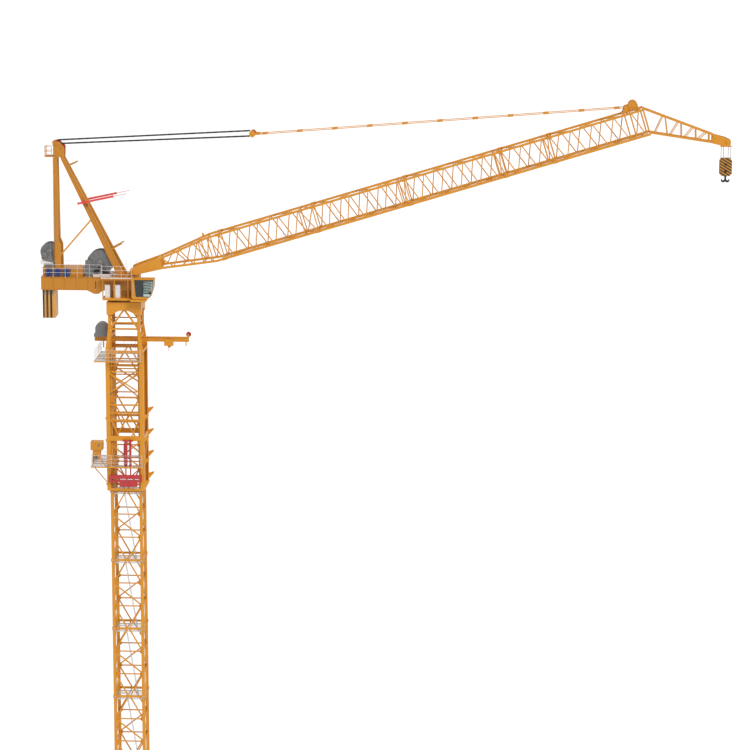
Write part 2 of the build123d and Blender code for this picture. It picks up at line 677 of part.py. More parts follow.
def slewing_platform():
    """Turning half of the slewing ring, its platform and the pedestal that carries the deck."""
    with BuildPart() as platform:
        rod((0, 0, PLATFORM_BOTTOM - RING_HEIGHT), (0, 0, PLATFORM_BOTTOM), RING_RADIUS)
        block((PLATFORM_BACK, -PLATFORM_Y, PLATFORM_BOTTOM), (PLATFORM_FRONT, PLATFORM_Y, PLATFORM_TOP))
        block((CAB_BACK - 60, CAB_NEAR, PLATFORM_BOTTOM), (PLATFORM_FRONT, -PLATFORM_Y, PLATFORM_TOP))
        block((-900, -DECK_HALF + 20, PLATFORM_TOP), (600, DECK_HALF - 20, DECK_BOTTOM))
    return platform


def machinery_deck():
    """Counter-jib girder with a bulge under its webs, a plinth for the rear legs, galleries on posts at both
    sides of the slewing platform, and the lugs of the boom's foot pins."""
    lug = PIN_RADIUS * 2.2
    with BuildPart() as deck:
        block((DECK_BACK, -DECK_HALF, DECK_BOTTOM), (DECK_FRONT, DECK_HALF, DECK_TOP))
        block((DECK_BACK + DECK_WALL, -DECK_HALF + DECK_WALL, DECK_BOTTOM), (-1000, DECK_HALF - DECK_WALL, DECK_TOP - DECK_WALL),
              mode=Mode.SUBTRACT)
        block((DECK_BACK, -DECK_HALF, DECK_BOTTOM), (WEIGHT_BACK + WEIGHT_LENGTH + 60, DECK_HALF, DECK_BOTTOM + 40))
        block((PLINTH_BACK, -PLINTH_HALF, DECK_TOP), (PLINTH_FRONT, PLINTH_HALF, DECK_TOP + PLINTH_HEIGHT))
        for side in (-1, 1):
            y = side * (DECK_HALF - DECK_WALL / 2)
            plates(side_plane(y), [[(PIN_X - 2 * lug, DECK_TOP), (PIN_X + lug, DECK_TOP), (PIN_X + lug, PIN_Z),
                                    (PIN_X + lug * 0.5, PIN_Z + lug), (PIN_X - lug * 0.5, PIN_Z + lug), (PIN_X - lug, PIN_Z)],
                                   [(-1800, DECK_BOTTOM), (-1000, DECK_BOTTOM), (-1235, DECK_BOTTOM - 175), (-1450, DECK_BOTTOM - 175)]],
                   DECK_WALL)
            block((-1395, y - DECK_WALL, DECK_BOTTOM + 40), (-1340, y + DECK_WALL, DECK_TOP - 200), mode=Mode.SUBTRACT)
            near, far = sorted((side * DECK_HALF, side * PLATFORM_Y))
            block((GALLERY_BACK, near, DECK_TOP - GALLERY_PLATE), (CAB_BACK - 20, far, DECK_TOP))
            for x in (GALLERY_BACK, -430, 215):
                edge = side * (PLATFORM_Y - GALLERY_POST / 2)
                block((max(x, PLATFORM_BACK), edge - GALLERY_POST / 2, PLATFORM_TOP),
                      (max(x, PLATFORM_BACK) + GALLERY_POST, edge + GALLERY_POST / 2, DECK_TOP - GALLERY_PLATE))
            rod((PIN_X, y, PIN_Z), (PIN_X, side * (BOOM_HALF + CHORD / 2 + 20), PIN_Z), PIN_RADIUS)
    return deck


def deck_railings():
    """Guard rails along both sides and the back of the deck, and along the near gallery."""
    inset = GUARD_BAR / 2
    side, back = DECK_HALF - inset, DECK_BACK + inset
    with BuildPart() as rails:
        for y in (-side, side):
            railing(((back, y), (-1080, y)), DECK_TOP, RAIL_HEIGHT, 6)
        railing(((back, -side), (back, side)), DECK_TOP, RAIL_HEIGHT, 2)
        for y in (-PLATFORM_Y + inset, PLATFORM_Y - inset):
            railing(((GALLERY_BACK + inset, y), (CAB_BACK - 40, y)), DECK_TOP, RAIL_HEIGHT, 3)
    return rails


def counterweight():
    """Stack of ballast blocks hung under the back of the deck."""
    slab = WEIGHT_LENGTH / 3
    with BuildPart() as weight:
        for index in range(3):
            x = WEIGHT_BACK + index * slab
            block((x, -WEIGHT_WIDTH / 2, DECK_BOTTOM - WEIGHT_HEIGHT), (x + slab - 10, WEIGHT_WIDTH / 2, DECK_BOTTOM))
    return weight


def leg_plane(side):
    """The leaning plane that both legs of one side stand in, with its origin at the level of the deck."""
    rise = HEAD_BOTTOM - DECK_TOP
    return Plane(origin=(0, side * FRAME_HALF, DECK_TOP), x_dir=(1, 0, 0), z_dir=(0, -rise, side * (FRAME_TOP_HALF - FRAME_HALF)))


def lean(z):
    """Distance up the leaning plane to a height."""
    rise = HEAD_BOTTOM - DECK_TOP
    return (z - DECK_TOP) * hypot(rise, FRAME_HALF - FRAME_TOP_HALF) / rise


def front_edge(z, front=False):
    """Where the back or front edge of the front legs is at a height, along X."""
    share = (HEAD_BOTTOM - z) / (HEAD_BOTTOM - DECK_TOP)
    back = FRONT_TOP_BACK + (FRONT_FOOT_BACK - FRONT_TOP_BACK) * share
    return back + (FRONT_TOP_WIDTH + (FRONT_FOOT_WIDTH - FRONT_TOP_WIDTH) * share if front else 0)


def between(low, high):
    """Cuts what is being built level at two heights."""
    block((-5000, -2000, low), (2000, 2000, high), mode=Mode.INTERSECT)


def aframe_rear_legs():
    """Upright legs at the back of the A-frame, each with a wide gusset at its base."""
    half = REAR_LEG_WIDTH / 2
    with BuildPart() as legs:
        for side in (-1, 1):
            right = REAR_LEG_X + half + GUSSET_WIDTH
            outline = [(REAR_LEG_X - half, REAR_LEG_FOOT - 50), (right, REAR_LEG_FOOT - 50), (right, REAR_LEG_FOOT + GUSSET_RISE - 280),
                       (REAR_LEG_X + half, REAR_LEG_FOOT + GUSSET_RISE), (REAR_LEG_X + half, HEAD_BOTTOM + 50),
                       (REAR_LEG_X - half, HEAD_BOTTOM + 50)]
            plates(leg_plane(side), [[(x, lean(z)) for x, z in outline]], FRAME_PLATE)
        between(REAR_LEG_FOOT, HEAD_BOTTOM)
    return legs


def aframe_front_legs():
    """Inclined box legs from the A-frame's head down to the deck, with arms that carry the ropes."""
    low, high = DECK_TOP - 50, HEAD_BOTTOM + 50
    with BuildPart() as legs:
        for side in (-1, 1):
            legs_outline = [(front_edge(low), lean(low)), (front_edge(low, True), lean(low)), (front_edge(high, True), lean(high)),
                            (front_edge(high), lean(high))]
            arms = []
            for z, run, rise in ((DECK_TOP + 1320, 510, 290), (HEAD_BOTTOM - 420, 400, 180)):
                x = front_edge(z, True)
                arms.append(strut((x - 20, lean(z)), (x + run, lean(z + rise)), 55))
            plates(leg_plane(side), [legs_outline] + arms, FRAME_PLATE)
        between(DECK_TOP, HEAD_BOTTOM)
    return legs


def aframe_head():
    """Head of the A-frame: side plates, the sheave shafts and a small platform with its rail."""
    low = HEAD_BOTTOM
    outline = [(-3290, low), (-3060, low), (FRONT_TOP_BACK + FRONT_TOP_WIDTH + 20, low), (-2820, low + HEAD_HEIGHT * 0.62),
               (-3060, low + HEAD_HEIGHT * 0.95), (-3390, low + HEAD_HEIGHT), (-3330, low + HEAD_HEIGHT * 0.55),
               (REAR_LEG_X - REAR_LEG_WIDTH / 2, low)]
    with BuildPart() as head:
        for y in (-FRAME_TOP_HALF, FRAME_TOP_HALF):
            plates(side_plane(y), [outline[1:]], HEAD_PLATE)
        rod((TOP_SHEAVE_X, -FRAME_TOP_HALF, low + TOP_SHEAVE_RISE), (TOP_SHEAVE_X, FRAME_TOP_HALF, low + TOP_SHEAVE_RISE), 45)
        rod((LOW_SHEAVE_X, -FRAME_TOP_HALF, low + LOW_SHEAVE_RISE), (LOW_SHEAVE_X, FRAME_TOP_HALF, low + LOW_SHEAVE_RISE), 45, sides=12)
        block((-3760, -FRAME_TOP_HALF - 60, low), (-3150, FRAME_TOP_HALF + 60, low + 50))
        edge = FRAME_TOP_HALF + 60 - GUARD_BAR / 2
        railing(((-3749, -edge), (-3749, edge)), low + 50, 460, 2)
        for y in (-edge, edge):
            railing(((-3749, y), (-3420, y)), low + 50, 460, 1)
    return head


def aframe_sheaves():
    """Sheaves of the luffing ropes on the head's shafts."""
    half = SHEAVE_THICKNESS / 2
    with BuildPart() as sheaves:
        for x, rise, radius, shift in ((TOP_SHEAVE_X, TOP_SHEAVE_RISE, TOP_SHEAVE_RADIUS, -FALL_SHIFT),
                                       (LOW_SHEAVE_X, LOW_SHEAVE_RISE, LOW_SHEAVE_RADIUS, FALL_SHIFT)):
            z = HEAD_BOTTOM + rise
            for y in FALLS_Y:
                if abs(y + shift) + half < FRAME_TOP_HALF - HEAD_PLATE / 2:
                    rod((x, y + shift - half, z), (x, y + shift + half, z), radius, sides=SHEAVE_SIDES)
            rod((x, -FRAME_TOP_HALF, z), (x, FRAME_TOP_HALF, z), 45.3, sides=12, mode=Mode.SUBTRACT)
    return sheaves


def aframe_braces():
    """Struts between the rear legs' bases and the middle of the front legs."""
    low, high = DECK_TOP + BRACE_LOW_RISE, DECK_TOP + BRACE_HIGH_RISE
    start = (REAR_LEG_X + REAR_LEG_WIDTH / 2 + GUSSET_WIDTH, lean(low))
    end = (front_edge(high), lean(high))
    face = (front_edge(high) - front_edge(high + 100), lean(high) - lean(high + 100))
    with BuildPart() as braces:
        for side in (-1, 1):
            plates(leg_plane(side), [strut(start, end, BRACE_WIDTH, PLUMB, face)], BRACE_WIDTH)
    return braces


def back_stops():
    """Buffers beside the front legs that the boom leans on when it is all the way up, on their brackets."""
    z = DECK_TOP + STOP_RISE
    x = (front_edge(z) + front_edge(z, True)) / 2
    middle = (x + 1430, z + 1430 * STOP_SLOPE)
    end = (middle[0] + 625, middle[1] + 625 * STOP_SLOPE)
    leg_side = FRAME_HALF + (FRAME_TOP_HALF - FRAME_HALF) * (STOP_RISE - 61) / (HEAD_BOTTOM - DECK_TOP)
    with BuildPart() as stops:
        for side in (-1, 1):
            y = side * STOP_Y
            plates(side_plane(y), [strut((x - 280, z - 280 * STOP_SLOPE), middle, STOP_BOX)], STOP_BOX)
            rod((middle[0], y, middle[1]), (end[0], y, end[1]), 28, sides=8)
            near, far = sorted((side * (leg_side + FRAME_PLATE / 2 + BEARING_GAP), side * (STOP_Y - STOP_BOX / 2 + 10)))
            block((x - 90, near, z - 60), (x + 90, far, z + 60))
    return stops


def drum(centre_x, centre_z, flange, barrel, reach):
    """A winch drum across the deck: a barrel between two flanges."""
    rod((centre_x, -reach, centre_z), (centre_x, reach, centre_z), barrel, sides=20)
    for y in (-reach, reach - 30):
        rod((centre_x, y, centre_z), (centre_x, y + 30, centre_z), flange, sides=32)


HOIST_X = -1190
HOIST_RISE = 650
HOIST_RADIUS = 618
LUFF_X = -3620
LUFF_RISE = 1165
LUFF_RADIUS = 430


def hoist_winch():
    """Main winch with its drum, bearing stands, base and gear case."""
    z = DECK_TOP + HOIST_RISE
    with BuildPart() as winch:
        drum(HOIST_X, z, HOIST_RADIUS, HOIST_RADIUS * 0.78, 350)
        for y in (-400, 400):
            plates(side_plane(y), [[(HOIST_X - 300, DECK_TOP), (HOIST_X + 440, DECK_TOP), (HOIST_X + 150, z + 120), (HOIST_X - 150, z + 120)]], 40)
        rod((HOIST_X, -420, z), (HOIST_X, 420, z), 60, sides=12)
        block((HOIST_X - 680, -470, DECK_TOP + 220), (HOIST_X - 290, -380, DECK_TOP + 930))
        block((HOIST_X - 640, -460, DECK_TOP), (HOIST_X - 300, -390, DECK_TOP + 220))
    return winch


def luffing_winch():
    """Luffing winch on its stand and tray at the back of the deck."""
    z = DECK_TOP + LUFF_RISE
    low = DECK_TOP + PLINTH_HEIGHT
    with BuildPart() as winch:
        drum(LUFF_X, z, LUFF_RADIUS, LUFF_RADIUS * 0.72, 300)
        for y in (-340, 340):
            plates(side_plane(y), [[(LUFF_X - 250, low), (LUFF_X + 200, low), (LUFF_X + 90, z + 90), (LUFF_X - 90, z + 90)]], 40)
        rod((LUFF_X, -360, z), (LUFF_X, 360, z), 55, sides=12)
        plates(side_plane(0), [[(LUFF_X - 450, low + 176), (LUFF_X + 200, low + 176), (LUFF_X + 200, low + 212), (LUFF_X - 330, low + 320),
                                (LUFF_X - 400, low + 320)]], 660)
    return winch


def winch_drives():
    """Hydraulic motors in two rows along the near side of the plinth."""
    z = DECK_TOP + 55 + BEARING_GAP
    with BuildPart() as drives:
        for x in (-3800, -3380, -2960):
            for row in (0, 1):
                rod((x, -519, z + row * 118), (x + 370, -519, z + row * 118), 44, sides=8)
        for x in (-3700, -3280, -2860):
            block((x, -560, DECK_TOP), (x + 60, -PLINTH_HALF - BEARING_GAP, DECK_TOP + 260))
    return drives


def electrical_cabinets():
    """Cabinets on the slewing platform, under the near gallery."""
    with BuildPart() as cabinets:
        for x, width in ((-880, 236), (-460, 313)):
            block((x, -920, PLATFORM_TOP), (x + width, -DECK_HALF - 30, PLATFORM_TOP + 610))
    return cabinets


def cab_frame():
    """Driver's cab: a hollow box with windows at the front and both sides, and a recessed side panel."""
    width = CAB_FAR - CAB_NEAR
    with BuildPart() as cab:
        middle = side_plane((CAB_NEAR + CAB_FAR) / 2)
        plates(middle, [CAB_SIDE], width)
        with BuildSketch(middle, mode=Mode.PRIVATE) as room:
            with BuildLine():
                Polyline(*CAB_SIDE, close=True)
            make_face()
            offset(amount=-CAB_WALL, kind=Kind.INTERSECTION)
        extrude(room.sketch, amount=width / 2 - CAB_WALL, both=True, mode=Mode.SUBTRACT)
        block((1330, CAB_NEAR + 60, WINDOW_LOW), (1600, CAB_FAR - 60, WINDOW_HIGH), mode=Mode.SUBTRACT)
        for near, far in ((CAB_NEAR - 10, CAB_NEAR + CAB_WALL + 10), (CAB_FAR - CAB_WALL - 10, CAB_FAR + 10)):
            block((WINDOW_BACK, near, WINDOW_LOW), (1400, far, WINDOW_HIGH), mode=Mode.SUBTRACT)
        block((CAB_BACK + 120, CAB_NEAR, CAB_LOW + 190), (WINDOW_BACK - 40, CAB_NEAR + 8, WINDOW_HIGH + 20), mode=Mode.SUBTRACT)
        block((CAB_BACK + 100, CAB_NEAR + 60, PLATFORM_TOP), (1100, CAB_FAR - 60, CAB_LOW))
    return cab


def cab_glass():
    """Panes in the cab's side and front windows."""
    fit = BEARING_GAP
    with BuildPart() as glass:
        with BuildSketch(side_plane((CAB_NEAR + CAB_FAR) / 2), mode=Mode.PRIVATE) as front:
            Polygon(*[(x - inset, z) for x, z, inset in (
                (front_glass(WINDOW_LOW + fit), WINDOW_LOW + fit, 8), (front_glass(WINDOW_LOW + fit), WINDOW_LOW + fit, 18),
                (front_glass(CAB_HIGH - 400), CAB_HIGH - 400, 18), (front_glass(WINDOW_HIGH - fit), WINDOW_HIGH - fit, 18),
                (front_glass(WINDOW_HIGH - fit), WINDOW_HIGH - fit, 8), (front_glass(CAB_HIGH - 400), CAB_HIGH - 400, 8))],
                    align=None)
        extrude(front.sketch, amount=(CAB_FAR - CAB_NEAR) / 2 - 60 - fit, both=True)
        for y in (CAB_NEAR + 10, CAB_FAR - 20):
            block((WINDOW_BACK + fit, y, WINDOW_LOW + fit), (1400 - fit, y + 10, WINDOW_HIGH - fit))
    return glass


def front_glass(z):
    """Where the cab's front face is at a height, along X."""
    for (x0, z0), (x1, z1) in zip(CAB_SIDE[2:], CAB_SIDE[3:5]):
        if z >= z1:
            return x0 + (x1 - x0) * (z - z0) / (z1 - z0)
    return CAB_SIDE[4][0]


save("slewing_platform", slewing_platform())
save("machinery_deck", machinery_deck())
save("deck_railings", deck_railings())
save("counterweight", counterweight())
save("aframe_rear_legs", aframe_rear_legs())
save("aframe_front_legs", aframe_front_legs())
save("aframe_head", aframe_head())
save("aframe_sheaves", aframe_sheaves())
save("aframe_braces", aframe_braces())
save("back_stops", back_stops())
save("hoist_winch", hoist_winch())
save("luffing_winch", luffing_winch())
save("winch_drives", winch_drives())
save("electrical_cabinets", electrical_cabinets())
save("cab_frame", cab_frame())
save("cab_glass", cab_glass())


# Boom
def boom_point(u, v):
    """Place in (x, z) of a point of the boom's own plane."""
    c, s = cos(radians(BOOM_ANGLE)), sin(radians(BOOM_ANGLE))
    return PIN_X + u * c - v * s, PIN_Z + u * s + v * c


def boom_plane(y):
    """The boom's own plane at a depth, with its first axis along the boom and its second square to it."""
    c, s = cos(radians(BOOM_ANGLE)), sin(radians(BOOM_ANGLE))
    return Plane(origin=(PIN_X, y, PIN_Z), x_dir=(c, 0, s), z_dir=(0, -1, 0))


UPPER_CHORD = [(FOOT_END_U, FOOT_TOP_V), (TOP_KINK_U, TOP_V), (BOOM_END_U, TOP_V)]
LOWER_CHORD = [(FOOT_END_U, FOOT_BOTTOM_V), (BOTTOM_KINK_U, BOTTOM_V), (BOOM_END_U, BOTTOM_V)]


def band(points, width):
    """Outline of a strip along a bent line, measured square to its first axis."""
    half = width / 2
    return [(u, v + half) for u, v in points] + [(u, v - half) for u, v in reversed(points)]


def boom_foot():
    """Solid web plates at the foot of the boom, bored for the foot pins, and the beams between them."""
    half = CHORD / 2
    inner = BOOM_HALF - CHORD / 2
    with BuildPart() as foot:
        for y in (-BOOM_HALF, BOOM_HALF):
            plates(boom_plane(y), [[(-130, 60), (-60, 150), (200, 190), (FOOT_END_U, FOOT_TOP_V + half),
                                    (FOOT_END_U, FOOT_BOTTOM_V - half), (200, -200), (-60, -140), (-130, -60)]], CHORD - SIDE_GAP)
        with Locations(boom_plane(0)):
            for u, v in ((700, 110), (700, -150), (FOOT_END_U - 90, FOOT_TOP_V - 10), (FOOT_END_U - 90, FOOT_BOTTOM_V + 10)):
                with Locations((u, v, 0)):
                    Box(80, 80, 2 * inner + CHORD)
        rod((PIN_X, -BOOM_HALF - CHORD, PIN_Z), (PIN_X, BOOM_HALF + CHORD, PIN_Z), PIN_RADIUS + PIN_GAP, mode=Mode.SUBTRACT)
    return foot


def boom_chords():
    """Four chords from the foot to the head, with a pad under the pendants' rest near the foot."""
    with BuildPart() as chords:
        for y in (-BOOM_HALF, BOOM_HALF):
            plates(boom_plane(y), [band(line, CHORD) for line in (UPPER_CHORD, LOWER_CHORD)], CHORD)
            u = TOP_KINK_U - 300
            v = chord_height(UPPER_CHORD, u)
            plates(boom_plane(y), [[(u - 60, v), (u + 60, v), (u + 30, v + 190), (u - 30, v + 190)]], 40)
    return chords


def chord_height(line, u):
    """Height of a chord's centre line at a place along the boom."""
    for (u0, v0), (u1, v1) in zip(line, line[1:]):
        if u <= u1:
            return v0 + (v1 - v0) * (u - u0) / (u1 - u0)
    return line[-1][1]


def boom_side_outlines(first):
    """Posts and zigzag bars of one side of the boom. They run on into the chords, which cut them."""
    half = CHORD / 2 - 15
    outlines = []
    last = BOOM_END_U - LACING / 2
    for u in FRAMES_U + [END_POST_U, last]:
        outlines.append(strut((u, chord_height(LOWER_CHORD, u) + half), (u, chord_height(UPPER_CHORD, u) - half), LACING, LEVEL, LEVEL))
    ends = [FOOT_END_U + 60] + FRAMES_U + [END_POST_U, last]
    for start, end in zip(ends, ends[1:]):
        span = end - start - LACING
        if span < PITCH / 2:
            continue
        count = max(1, round(span / PITCH))
        step = span / count
        for index in range(count):
            u0 = start + LACING / 2 + step * index + LACING * NODE_SHARE
            u1 = start + LACING / 2 + step * (index + 1) - LACING * NODE_SHARE
            line0, line1, way = (UPPER_CHORD, LOWER_CHORD, -1) if (index % 2 == 0) == first else (LOWER_CHORD, UPPER_CHORD, 1)
            a = Vector(u0, chord_height(line0, u0) + way * CHORD / 2)
            b = Vector(u1, chord_height(line1, u1) - way * CHORD / 2)
            more = (b - a).normalized() * 20
            outlines.append(strut((a.X - more.X, a.Y - more.Y), (b.X + more.X, b.Y + more.Y), LACING, LEVEL, LEVEL))
    return outlines


def boom_side(y, first):
    """Lacing of one side of the boom, seated on the chords."""
    with BuildPart() as side:
        plates(boom_plane(y), boom_side_outlines(first), LACING_DEPTH,
               cut=[band(line, CHORD + 2 * SEAT_GAP) for line in (UPPER_CHORD, LOWER_CHORD)])
    return side


def boom_flat(line, first):
    """Lacing of the boom's top or bottom between the level stretches of the chords, and ties in the taper."""
    c, s = cos(radians(BOOM_ANGLE)), sin(radians(BOOM_ANGLE))
    v = line[-1][1]
    x, z = boom_point(0, v)
    plane = Plane(origin=(x, 0, z), x_dir=(c, 0, s), z_dir=(-s, 0, c))
    reach = BOOM_HALF - CHORD / 2
    outlines = []
    ends = [u for u in FRAMES_U if u > BOTTOM_KINK_U] + [BOOM_END_U - LACING / 2]
    for u in ends:
        outlines.append(strut((u, -reach), (u, reach), LACING, LEVEL, LEVEL))
    for start, end in zip(ends, ends[1:]):
        span = end - start - LACING
        count = max(1, round(span / (2.4 * PITCH)))
        step = span / count
        for index in range(count):
            u0 = start + LACING / 2 + step * index + LACING * NODE_SHARE
            u1 = start + LACING / 2 + step * (index + 1) - LACING * NODE_SHARE
            side = 1 if (index % 2 == 0) == first else -1
            outlines.append(strut((u0, side * reach), (u1, -side * reach), LACING, LEVEL, LEVEL))
    with BuildPart() as flat:
        plates(plane, outlines, LACING_DEPTH)
        with Locations(boom_plane(0)):
            for u in (FRAMES_U[0] - 1000, FRAMES_U[0]):
                with Locations((u, chord_height(line, u), 0)):
                    Box(LACING, LACING, 2 * reach)
    return flat


def boom_head():
    """Brackets at the head of the boom that carry the pendants' pin and the head sheave with its shaft."""
    low = TOP_V + CHORD / 2
    bracket_y = PENDANT_HALF + 60
    pin_x, pin_z = boom_point(PENDANT_U, PENDANT_V)
    axle_x, axle_z = boom_point(HEAD_SHEAVE_U, HEAD_SHEAVE_V)
    with BuildPart() as head:
        for y in (-bracket_y, bracket_y):
            plates(boom_plane(y), [[(PENDANT_U - 280, low), (HEAD_SHEAVE_U + 260, low), (HEAD_SHEAVE_U + 80, HEAD_SHEAVE_V + 80),
                                    (PENDANT_U - 80, PENDANT_V + 80)]], 40)
        with Locations(boom_plane(0)):
            for place in (PENDANT_U - 230, HEAD_SHEAVE_U + 200):
                with Locations((place, low + 20, 0)):
                    Box(80, 40, 2 * (BOOM_HALF + CHORD / 2))
        rod((pin_x, -bracket_y - 20, pin_z), (pin_x, bracket_y + 20, pin_z), PENDANT_PIN_RADIUS)
        rod((axle_x, -bracket_y, axle_z), (axle_x, bracket_y, axle_z), 34, sides=8)
        rod((axle_x, -45, axle_z), (axle_x, 45, axle_z), HEAD_SHEAVE_RADIUS, sides=24)
    return head


def jib_point(share, line):
    """Point at a share of the way along one of the fly jib's two chords."""
    (x0, z0), (x1, z1) = line
    return x0 + (x1 - x0) * share, z0 + (z1 - z0) * share


JIB_UPPER = [boom_point(BOOM_END_U + BEARING_GAP, TOP_V), (TIP_X - 610, TIP_Z + 340)]
JIB_LOWER = [boom_point(BOOM_END_U + BEARING_GAP, BOTTOM_V + 30), (TIP_X - 610, TIP_Z - 10)]


def fly_jib():
    """Short laced jib past the boom's head: two braced sides, the ties between them, and the tip with its
    sheaves and the plate that guides the hoist rope."""
    posts = ((0.31, 0.275), (0.54, 0.495), (0.745, 0.725), (0.935, 0.93))
    diagonals = ((0.07, 0.275), (0.31, 0.5), (0.54, 0.71), (0.745, 0.9))
    across = (-sin(radians(BOOM_ANGLE)), cos(radians(BOOM_ANGLE)))
    with BuildPart() as jib:
        for side in (-1, 1):
            bars = [strut(*JIB_UPPER, JIB_CHORD, across), strut(*JIB_LOWER, JIB_CHORD, across)]
            for high, low in posts:
                bars.append(strut(jib_point(high, JIB_UPPER), jib_point(low, JIB_LOWER), JIB_POST))
            for low, high in diagonals:
                bars.append(strut(jib_point(low, JIB_LOWER), jib_point(high, JIB_UPPER), JIB_POST * 0.8))
            plates(side_plane(side * JIB_HALF), bars, JIB_CHORD)
            tip = [(TIP_X - 690, TIP_Z + 380), (TIP_X - 40, TIP_Z + 215), (TIP_X + 210, TIP_Z + 80), (TIP_X + 185, TIP_Z - 140),
                   (TIP_X - 30, TIP_Z - GUARD_DROP), (TIP_X - 690, TIP_Z - 45)]
            plates(side_plane(side * (JIB_HALF - 60)), [tip], 45)
        for share in (0.31, 0.54, 0.745, 0.98):
            x, z = jib_point(share, JIB_UPPER)
            block((x - 25, -JIB_HALF, z - 25), (x + 25, JIB_HALF, z + 25))
        rod((TIP_X, -JIB_HALF, TIP_Z), (TIP_X, JIB_HALF, TIP_Z), 40)
        for y in (-90, 0, 90):
            rod((TIP_X, y - 22, TIP_Z), (TIP_X, y + 22, TIP_Z), TIP_SHEAVE_RADIUS, sides=16)
        block((TIP_X - 260, -JIB_HALF + 40, TIP_Z - GUARD_DROP), (TIP_X + 250, JIB_HALF - 40, TIP_Z - GUARD_DROP + 16))
    return jib


def boom_walkway():
    """Grating along the inside of the boom's lower face."""
    start = BOTTOM_KINK_U + 450
    with BuildPart() as path:
        with Locations(boom_plane(0)):
            with Locations(((start + BOOM_END_U - 250) / 2, BOTTOM_V + LACING_DEPTH / 2 + 10, 0)):
                Box(BOOM_END_U - 250 - start, 20, 300)
    return path


save("boom_foot", boom_foot())
save("boom_chords", boom_chords())
save("boom_near_lacing", boom_side(-BOOM_HALF, True))
save("boom_far_lacing", boom_side(BOOM_HALF, False))
save("boom_top_lacing", boom_flat(UPPER_CHORD, True))
save("boom_bottom_lacing", boom_flat(LOWER_CHORD, False))
save("boom_head", boom_head())
save("fly_jib", fly_jib())
save("boom_walkway", boom_walkway())


# Ropes, pendants and hook
def pendant_bars():
    """Two lines of pendant bars from the floating block to the boom's head."""
    pin_x, pin_z = boom_point(PENDANT_U, PENDANT_V)
    with BuildPart() as bars:
        for y in (-PENDANT_HALF, PENDANT_HALF):
            plates(side_plane(y), [strut((FLOAT_X + FLOAT_LENGTH + 70, FLOAT_Z), (pin_x, pin_z), PENDANT_BAR, PLUMB)], PENDANT_BAR)
            rod((pin_x, y - 25, pin_z), (pin_x, y + 25, pin_z), 75, sides=12)
        rod((pin_x, -PENDANT_HALF - 40, pin_z), (pin_x, PENDANT_HALF + 40, pin_z), PENDANT_PIN_RADIUS + BEARING_GAP, sides=16,
            mode=Mode.SUBTRACT)
    return bars


def floating_block():
    """Block that the luffing ropes pull: two plates with sheaves between them, and a neck to the pendants."""
    end = FLOAT_X + FLOAT_LENGTH
    half = FLOAT_HEIGHT / 2
    with BuildPart() as block_part:
        for y in (-FLOAT_HALF + 15, FLOAT_HALF - 15):
            plates(side_plane(y), [[(FLOAT_X + 40, FLOAT_Z - half), (end - 60, FLOAT_Z - half), (end, FLOAT_Z - 60), (end, FLOAT_Z + 60),
                                    (end - 60, FLOAT_Z + half), (FLOAT_X + 40, FLOAT_Z + half), (FLOAT_X, FLOAT_Z)]], 30)
        block((end - 90, -FLOAT_HALF + 30, FLOAT_Z - 60), (end, FLOAT_HALF - 30, FLOAT_Z + 60))
        block((end, -PENDANT_HALF - 25, FLOAT_Z - 60), (end + 70, PENDANT_HALF + 25, FLOAT_Z + 60))
        rod((FLOAT_X + 150, -FLOAT_HALF, FLOAT_Z), (FLOAT_X + 150, FLOAT_HALF, FLOAT_Z), 30, sides=8)
        rod((FLOAT_X + 150, -240, FLOAT_Z), (FLOAT_X + 150, 240, FLOAT_Z), 140, sides=16)
    return block_part


def luffing_ropes():
    """Falls of the luffing rope between the A-frame's head and the floating block."""
    with BuildPart() as ropes:
        for x, rise, radius, shift, way in ((TOP_SHEAVE_X, TOP_SHEAVE_RISE, TOP_SHEAVE_RADIUS, -FALL_SHIFT, 1),
                                            (LOW_SHEAVE_X, LOW_SHEAVE_RISE, LOW_SHEAVE_RADIUS, FALL_SHIFT, -1)):
            start = (x, HEAD_BOTTOM + rise + radius / cos(radians(180 / SHEAVE_SIDES)) + ROPE_SIZE / 2 + BEARING_GAP)
            for y in FALLS_Y:
                if abs(y + shift) + SHEAVE_THICKNESS / 2 < FRAME_TOP_HALF - HEAD_PLATE / 2:
                    plates(side_plane(y + shift), [strut(start, (FLOAT_X + 20, FLOAT_Z + way * ROPE_RISE), ROPE_SIZE, PLUMB, PLUMB)], ROPE_SIZE)
    return ropes


def hoist_falls():
    """Falls of the hoist rope from the tip's guide plate to the hook block."""
    low, high = BLOCK_TOP + BEARING_GAP, TIP_Z - GUARD_DROP - BEARING_GAP
    with BuildPart() as falls:
        with Locations(*[(TIP_X + x, y, (low + high) / 2) for x, y in FALL_PLACES]):
            Box(FALL_SIZE, FALL_SIZE, high - low)
    return falls


def hook_block():
    """Eight-sided block of the hook: two cheeks with the sheaves' case between them."""
    half = BLOCK_WIDTH / 2
    low = BLOCK_TOP - BLOCK_HEIGHT
    cut = 110
    octagon = [(TIP_X - half + cut, low), (TIP_X + half - cut, low), (TIP_X + half, low + cut), (TIP_X + half, BLOCK_TOP - cut),
               (TIP_X + half - cut, BLOCK_TOP), (TIP_X - half + cut, BLOCK_TOP), (TIP_X - half, BLOCK_TOP - cut), (TIP_X - half, low + cut)]
    with BuildPart() as cheeks:
        plates(side_plane(0), [octagon], BLOCK_DEPTH)
    return cheeks


